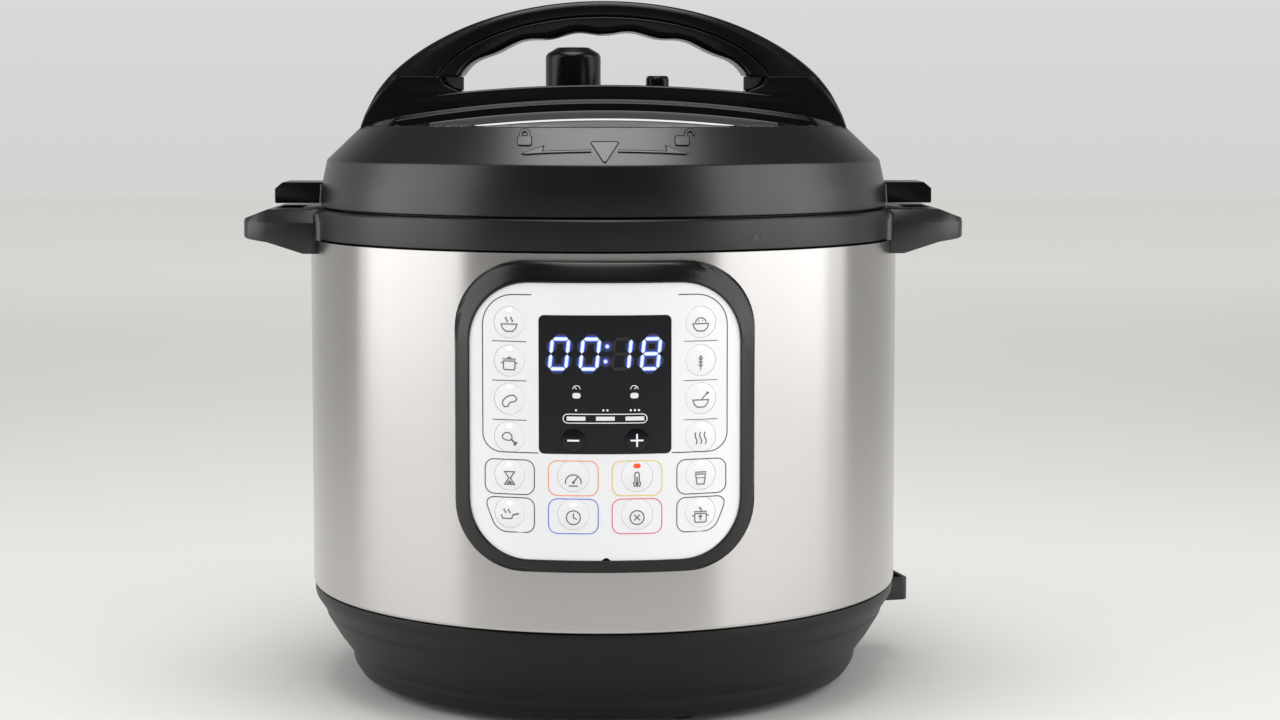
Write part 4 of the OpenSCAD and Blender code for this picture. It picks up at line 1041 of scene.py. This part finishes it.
def lid_fin(where, side):
    """A fin with its tip drawn in and its underside raised clear of the handle."""
    fin = copy_of(f"lid_fin_{where}", handle_black, "lid", 0.9, slot="gloss_black", segments=3, angle=34)
    for v in fin.data.vertices:
        x = abs(v.co.x) / MM
        if x > FIN_X:
            v.co.x = math.copysign(FIN_X + (x - FIN_X) * FIN_SHORTER, v.co.x) * MM
        if v.co.z < FIN_UNDER * MM:
            v.co.z += FIN_RAISE * MM
    root_fillet(f"fin_root_{where}", side, [
        (223.4, 132.8, FIN_FRONT, 1.4), (231.8, 132.2, FIN_FRONT, 1.4), (232.6, 132.1, 13.6, 0.8)], "lid")


for where, side in SIDES:
    lid_fin(where, side)

# ---------------------------------------------------------------------------
# Handle. A black deck of four arched steps, the lowest satin and the others
# gloss, then two broad legs and an arch, with a separate scalloped grip under
# the arch and small grey end blocks.

gloss = finish_of("gloss_black", linear(9, 10, 12), 0.17, rough_drift=0.02, grain=0.01, pitch=2.5,
                  fixed={"Specular IOR Level": 0.4})

# each step's height over the lid's top, its front and back from the axis, and its edge as (in, up, round)
STEPS = (
    (3.5, 97, 97, [(-2.75, -3.5, 0), (0, 0, 0.5), (1.2, 0, 0)]),
    (7.0, 80, 90, [(-3.3, -7.0, 0), (0, 0, 0.9), (1.5, 0, 0)]),
    (11.9, 55, 80, [(-4.6, -11.9, 0), (-1.8, -1.6, 0.4), (-1.0, -1.5, 0), (-0.3, 0, 0.22), (1.0, 0, 0)]),
    (18.6, 26, 34, [(0, -18.6, 0), (0, 0, 1.2), (2.4, 0, 0)]))
DECK_R, PLINTH_R, DECK_END, DECK_RIM = 545.0, 680.0, 98.0, 112.2
STEP_FOOT = CREASE_Z - 0.2


def skin_rows(rows):
    """The points of open rows of equal length, and the faces between them."""
    n = len(rows[0])
    return [p for row in rows for p in row], [
        (j * n + i, j * n + i + 1, (j + 1) * n + i + 1, (j + 1) * n + i)
        for j in range(len(rows) - 1) for i in range(n - 1)]


def is_plinth(front):
    """Whether a step is the highest one, the plinth between the handle's legs."""
    return front < 40


def deck_top(front, height, x):
    """Height of a step's arched top at x."""
    return CREASE_Z + height - x * x / (2 * (PLINTH_R if is_plinth(front) else DECK_R))


def cut_finely(line, longest):
    """The (y, z) line with more points where it climbs."""
    fine = []
    for (y0, z0), (y1, z1) in zip(line, line[1:]):
        cuts = max(1, round(abs(z1 - z0) / longest))
        fine += [(y0 + (y1 - y0) * k / cuts, z0 + (z1 - z0) * k / cuts) for k in range(cuts)]
    return fine + [line[-1]]


def deck_step(number, height, front, back, edge):
    """One arched slab with a shaped front and back edge, trimmed to the lid's flat top."""
    edge = cut_finely(fillet(edge, 5), 0.7)
    inset = edge[-1][0]
    flat = front + back - 2 * inset
    section = [(y - front, z) for y, z in edge]
    section += [(inset - front + flat * k / 24, 0.0) for k in range(1, 24)]
    section += [(back - y, z) for y, z in reversed(edge)]
    half = min(DECK_END if is_plinth(front) else DECK_RIM, math.sqrt(2 * DECK_R * height))
    n = 32 if front < 60 else 64
    rows = []
    for y, drop in section:
        w = min(half, math.sqrt(max(DECK_RIM ** 2 - y * y, 1.0)))
        row = []
        for i in range(2 * n + 1):
            x = w * (i / n - 1) if w >= half - 0.01 else w * math.sin(math.pi / 2 * (i / n - 1))
            top = min(deck_top(front, height, x) + drop, CREASE_Z + DECK_RIM - math.hypot(x, y))
            row.append((x, y, max(STEP_FOOT, top)))
        rows.append([(row[0][0], y, STEP_FOOT), *row, (row[-1][0], y, STEP_FOOT)])
    verts, faces = skin_rows(rows)
    lowest = number == 1
    add_piece(f"deck_step_{number}", verts, faces, satin if lowest else gloss, "lid", angle=34,
              slot="satin_black" if lowest else "gloss_black")


def deck_highlight_strip():
    """A bright line, laid along the front edge of the lowest step and thinned out to its ends: a painted
    highlight, a thin strip lighter in colour than the black step under it, whose glossy curve also catches
    the lamps.
    """
    height, front = STEPS[0][:2]
    half, n = 56.0, 32
    rows = []
    for i in range(2 * n + 1):
        x = half * (i / n - 1)
        wide = 0.75 * share(half + 0.3 - abs(x), 0, 9) ** 0.5
        section = ((-wide - 0.1, -wide - 0.15), (-wide - 0.15, -wide), (-0.12, 0.03), (0.15, 0.04),
                   (0.4, -0.1))
        rows.append([(x, y - front, deck_top(front, height, x) + z) for y, z in section])
    # painted highlight: the strip's colour is lighter than the black of the step, standing in for the
    # highlight on the step's edge
    bright = finish_of("deck_highlight_strip", linear(30, 31, 34), 0.14, grain=0.0,
                       fixed={"Specular IOR Level": 1.0, "IOR": 1.8})
    add_piece("deck_highlight_strip", *skin_rows(rows), bright, "lid", angle=25, slot="gloss_black")


for i, step in enumerate(STEPS):
    deck_step(i + 1, *step)
deck_highlight_strip()

# half-ellipses seen from the front, as half-width, height and centre: the arch's top, the seam between
# arch and grip, and the grip's underside
ARCH = (115.4, 70.4, 246.6)
CREASE = (80.0, 38.0, 272.0)
UNDER = (68.0, 26.5, 276.0)
SEAM_Z, SEAM_GAP = 282.0, 0.04
SCALLOP, SCALLOP_PITCH = 0.8, 25.0
HALF_DEPTHS = ((250, 26.05), (272, 26.05), (282, 24.4), (290, 22.0), (298, 20.0), (305, 19.0), (320, 19.0))
LEG_INSIDE = ((252.5, 65.5), (274.6, 65.5), (275.6, 67.3), (276.6, 69.6), (278.2, 72.4), (280.0, 73.9),
              (SEAM_Z, 74.6))
LEG_LEVELS = (253.0, 256.0, 259.5, 264.0, 269.0, 273.0, 274.5, 275.5, 276.4, 277.2, 278.2, 279.4, 280.8,
              SEAM_Z - SEAM_GAP)


def half_depth(z):
    """Half the handle's depth at a height, from broad feet to the grip."""
    return on_line(HALF_DEPTHS, min(HALF_DEPTHS[-1][0], max(HALF_DEPTHS[0][0], z)))


def along(ellipse, start, share_of_way):
    """A point (x, z) on an ellipse's upper half, on the way from its angle start over to the other side."""
    a = start + (math.pi - 2 * start) * share_of_way
    return ellipse[0] * math.cos(a), ellipse[2] + ellipse[1] * math.sin(a)


def angle_at(ellipse, z):
    return math.asin((z - ellipse[2]) / ellipse[1])


def rounded_section(low, high, d_low, d_high, r_low, r_high):
    """A closed loop through two points of the front view, with its own half depth and corners at each."""
    p, q = Vector(low), Vector(high)
    length, up = (q - p).length, (q - p).normalized()
    flat = fillet([(0, 0, 0), (-d_low, 0, r_low), (-d_high, length, r_high), (d_high, length, r_high),
                   (d_low, 0, r_low), (0.001, 0, 0)], 6)
    return [(p.x + up.x * w, y, p.y + up.y * w) for y, w in flat]


def arch():
    """The swept arch over the lid, from leg to leg."""
    n, z0 = 72, SEAM_Z + SEAM_GAP
    outside, inside = angle_at(ARCH, z0), angle_at(CREASE, z0)
    loops = []
    for k in range(n + 1):
        high, low = along(ARCH, outside, k / n), along(CREASE, inside, k / n)
        loops.append(rounded_section(low, high, half_depth(low[1]), half_depth(high[1]), 1.1, 7.0))
    loft("arch_skin", loops, handle_black, "lid", angle=40, slot="gloss_black", stands_for=["handle_arch"],
         bevel=0.35)


def grip():
    """The grip under the arch, with its scalloped underside."""
    n = 120
    top = (CREASE[0] - 0.15, CREASE[1] - 0.15, CREASE[2])
    start, under_start = angle_at(CREASE, SEAM_Z - 1.0), math.radians(14)
    loops = []
    for k in range(n + 1):
        high = along(top, start, k / n)
        x, z = along(UNDER, under_start, k / n)
        z -= SCALLOP * math.cos(2 * math.pi * x / SCALLOP_PITCH)
        d = half_depth(high[1]) + 0.25
        loops.append(rounded_section((x, z), high, d - 1.2, d, 4.0, 1.3))
    loft("grip_skin", loops, handle_black, "lid", angle=40, slot="gloss_black", stands_for=["handle_grip"])


def leg(where, side):
    """A leg from the lid's flat top to the seam, in level sections that flare into the deck."""
    loops = []
    for z in LEG_LEVELS:
        x_in = on_line(LEG_INSIDE, z)
        x_arch = ARCH[0] * math.sqrt(1 - ((z - ARCH[2]) / ARCH[1]) ** 2)
        x_out = min(112.7, x_arch - 1.4 * share(SEAM_Z - SEAM_GAP - z, 0, 13))
        d = half_depth(z)
        r_out = 1.0 + 6.0 * share(z, 262, 280) ** 1.5
        r_in = 0.3 + 2.2 * share(z, 273.0, 278.0)
        flat = fillet([(x_in, 0, 0), (x_in, -d, r_in), (x_out, -d, r_out), (x_out, d, r_out), (x_in, d, r_in),
                       (x_in, 0.001, 0)], 6)
        loops.append([(side * x, y, z) for x, y in flat])
    loft(f"leg_{where}", loops, handle_black, "lid", angle=40, slot="gloss_black", bevel=0.35,
         stands_for=["handle_bridge"] if where == "left" else ())


def grip_block(where, side):
    """The small grey block that closes the grip's end, narrower at the back."""
    outline = [(64.7, 282.0), (64.7, 275.6), (69.2, 276.4), (72.0, 278.6), (73.8, 282.0)]
    front = [(side * x, -20.5, z) for x, z in outline]
    back = [(side * (x + (3.4 if x < 70 else 0)), 20.5, z) for x, z in outline]
    loft(f"grip_block_{where}", [front, back], raised_black, "lid", bevel=0.5, slot="satin_black")


arch()
grip()
for where, side in SIDES:
    leg(where, side)
for where, side in SIDES:
    grip_block(where, side)

# ---------------------------------------------------------------------------
# Steam handle and float. The release handle is a black knob with a shouldered
# top and a lever to the back; the float sits in a small guard beside it.

KNOB_X, KNOB_Y, KNOB_R, KNOB_Z0, KNOB_Z1 = -14.9, 56.0, 13.6, 271.6, 297.1
LEVER_Z0, LEVER_Z1, LEVER_END, LEVER_HALF = 271.4, 283.4, 26, 5
GUARD_RAISE = 0.7

knob_outline = fillet([(0.0, KNOB_Z1, 0), (7.7, KNOB_Z1, 0.7), (KNOB_R, 293.7, 3.2), (KNOB_R, KNOB_Z0, 0.5),
                       (11.0, 271.4, 0), (10.9, 290.0, 0), (0.0, 290.0, 0)])
knob = lathe("knob_skin", knob_outline, handle_black, "steam_knob", steps=96, closed=False, angle=34,
             slot="gloss_black", stands_for=["steam_handle"])
knob.data.transform(Matrix.Translation((KNOB_X * MM, KNOB_Y * MM, 0)))

lever = [(-LEVER_HALF, 8), *reversed(arc(0, LEVER_END, LEVER_HALF, 0, 180, 12)), (LEVER_HALF, 8)]
loft("knob_lever", [[(KNOB_X + x, KNOB_Y + y, z) for x, y in lever] for z in (LEVER_Z0, LEVER_Z1)],
     handle_black, "steam_knob", bevel=1.2, segments=3, slot="gloss_black")

guard = copy_of("float_guard", handle_black, "lid", 1.3, slot="gloss_black", segments=4, angle=34)
guard_top = max(v.co.z for v in guard.data.vertices)
for v in guard.data.vertices:
    if v.co.z > guard_top - 0.1 * MM:
        v.co.z += GUARD_RAISE * MM
paint(fine_aluminium, "aluminium_cap", "float_pin")

# ---------------------------------------------------------------------------
# Stage. A pale floor that runs into a pale room, a broad and a narrow softbox
# at each side, one overhead and one high in front, and a low, level camera.


def softbox(name, at, to, w, h, radiance):
    """A rectangular lamp that the camera doesn't see, with its radiance given per area."""
    light = bpy.data.lights.new(name, "AREA")
    light.shape, light.size, light.size_y = "RECTANGLE", w, h
    light.energy = radiance * math.pi * w * h
    box = bpy.data.objects.new(name, light)
    box.location = at
    box.rotation_euler = (Vector(to) - Vector(at)).to_track_quat("-Z", "Y").to_euler()
    box.visible_camera = False
    bpy.context.scene.collection.objects.link(box)


softbox("softbox_left", (-1.1, -0.365, 0.67), (0, -0.365, 0.67), 0.97, 1.24, 2.35)
softbox("softbox_left_edge", (-1.1, 0.18, 0.67), (0, 0.18, 0.67), 0.12, 1.24, 1.3)
softbox("softbox_right", (1.1, -0.63, 0.67), (0, -0.63, 0.67), 1.24, 1.24, 2.6)
softbox("softbox_right_edge", (1.1, 0.1, 0.67), (0, 0.1, 0.67), 0.2, 1.24, 1.4)
softbox("softbox_top", (-0.04, -0.02, 1.6), (-0.04, -0.02, 0), 0.9, 1.0, 5.2)
softbox("softbox_front", (0, -1.1, 1.9), (0, 0, 0.15), 0.9, 0.6, 3.0)


def pale_floor():
    """A matt disc, a little darker near the object than far behind it."""
    mat, v = new_material("floor")
    place = v.node("TexCoord", out="Object")
    slow = v.node("TexNoise", Vector=place, Scale=3.0, Detail=2.0)
    far = v.node("SeparateXYZ", Vector=place, out="Y").ease(0.4, 3.0)
    close_material(mat, {"Specular IOR Level": 0.2},
                   Base_Color=(far + (slow - 0.5) * 0.04).blend(linear(198, 197, 195), linear(250, 249, 247)),
                   Roughness=0.6 + (slow - 0.5) * 0.1)
    mesh = bpy.data.meshes.new("floor")
    bm = bmesh.new()
    bmesh.ops.create_circle(bm, cap_ends=True, segments=128, radius=6.0)
    bm.to_mesh(mesh)
    bm.free()
    mesh.materials.append(mat)
    floor = bpy.data.objects.new("floor", mesh)
    floor.location = (0, 0, -0.0002)
    bpy.context.scene.collection.objects.link(floor)


def pale_room():
    """The world: pale to the camera, shaded in reflections, and even in the light that it gives."""
    world = bpy.data.worlds.new("studio")
    bpy.context.scene.world = world
    world.use_nodes = True
    world.node_tree.nodes.clear()
    w = Val(world.node_tree)
    camera_ray = w.node("LightPath", out="Is Camera Ray")
    mirror_ray = camera_ray.other("Is Glossy Ray") + camera_ray.other("Is Transmission Ray")
    depth = w.node("SeparateXYZ", Vector=w.node("TexCoord", out="Generated"), out="Y")
    up = depth.other("Z")
    reflected = depth.ease(-0.35, 0.45, 0.08, 0.56) * up.ease(0.10, 0.55, 1.0, 0.12)
    plain_rays = (1.0 - camera_ray - mirror_ray).math("MAXIMUM", 0.0)
    level = camera_ray * up.ease(-0.045, 0.2, 0.66, 0.8) + mirror_ray * reflected + plain_rays * 0.75
    back = w.node("Background", Color=level.blend((0.0, 0.0, 0.0), (1.0, 0.99, 0.975)), Strength=1.0)
    out = world.node_tree.nodes.new("ShaderNodeOutputWorld")
    world.node_tree.links.new(back.socket, out.inputs[0])


pale_floor()
pale_room()

camera = bpy.data.cameras.new("camera")
camera.lens, camera.sensor_width = 67.12, 36.0
camera.shift_y = -0.07
cam = bpy.data.objects.new("camera", camera)
cam.location = (-0.0035, -1.1298, 0.2695)
cam.rotation_euler = (math.radians(90 - 4.0), 0, math.radians(-1.046))
bpy.context.scene.collection.objects.link(cam)
bpy.context.scene.camera = cam
bpy.context.scene.view_settings.view_transform = "Standard"
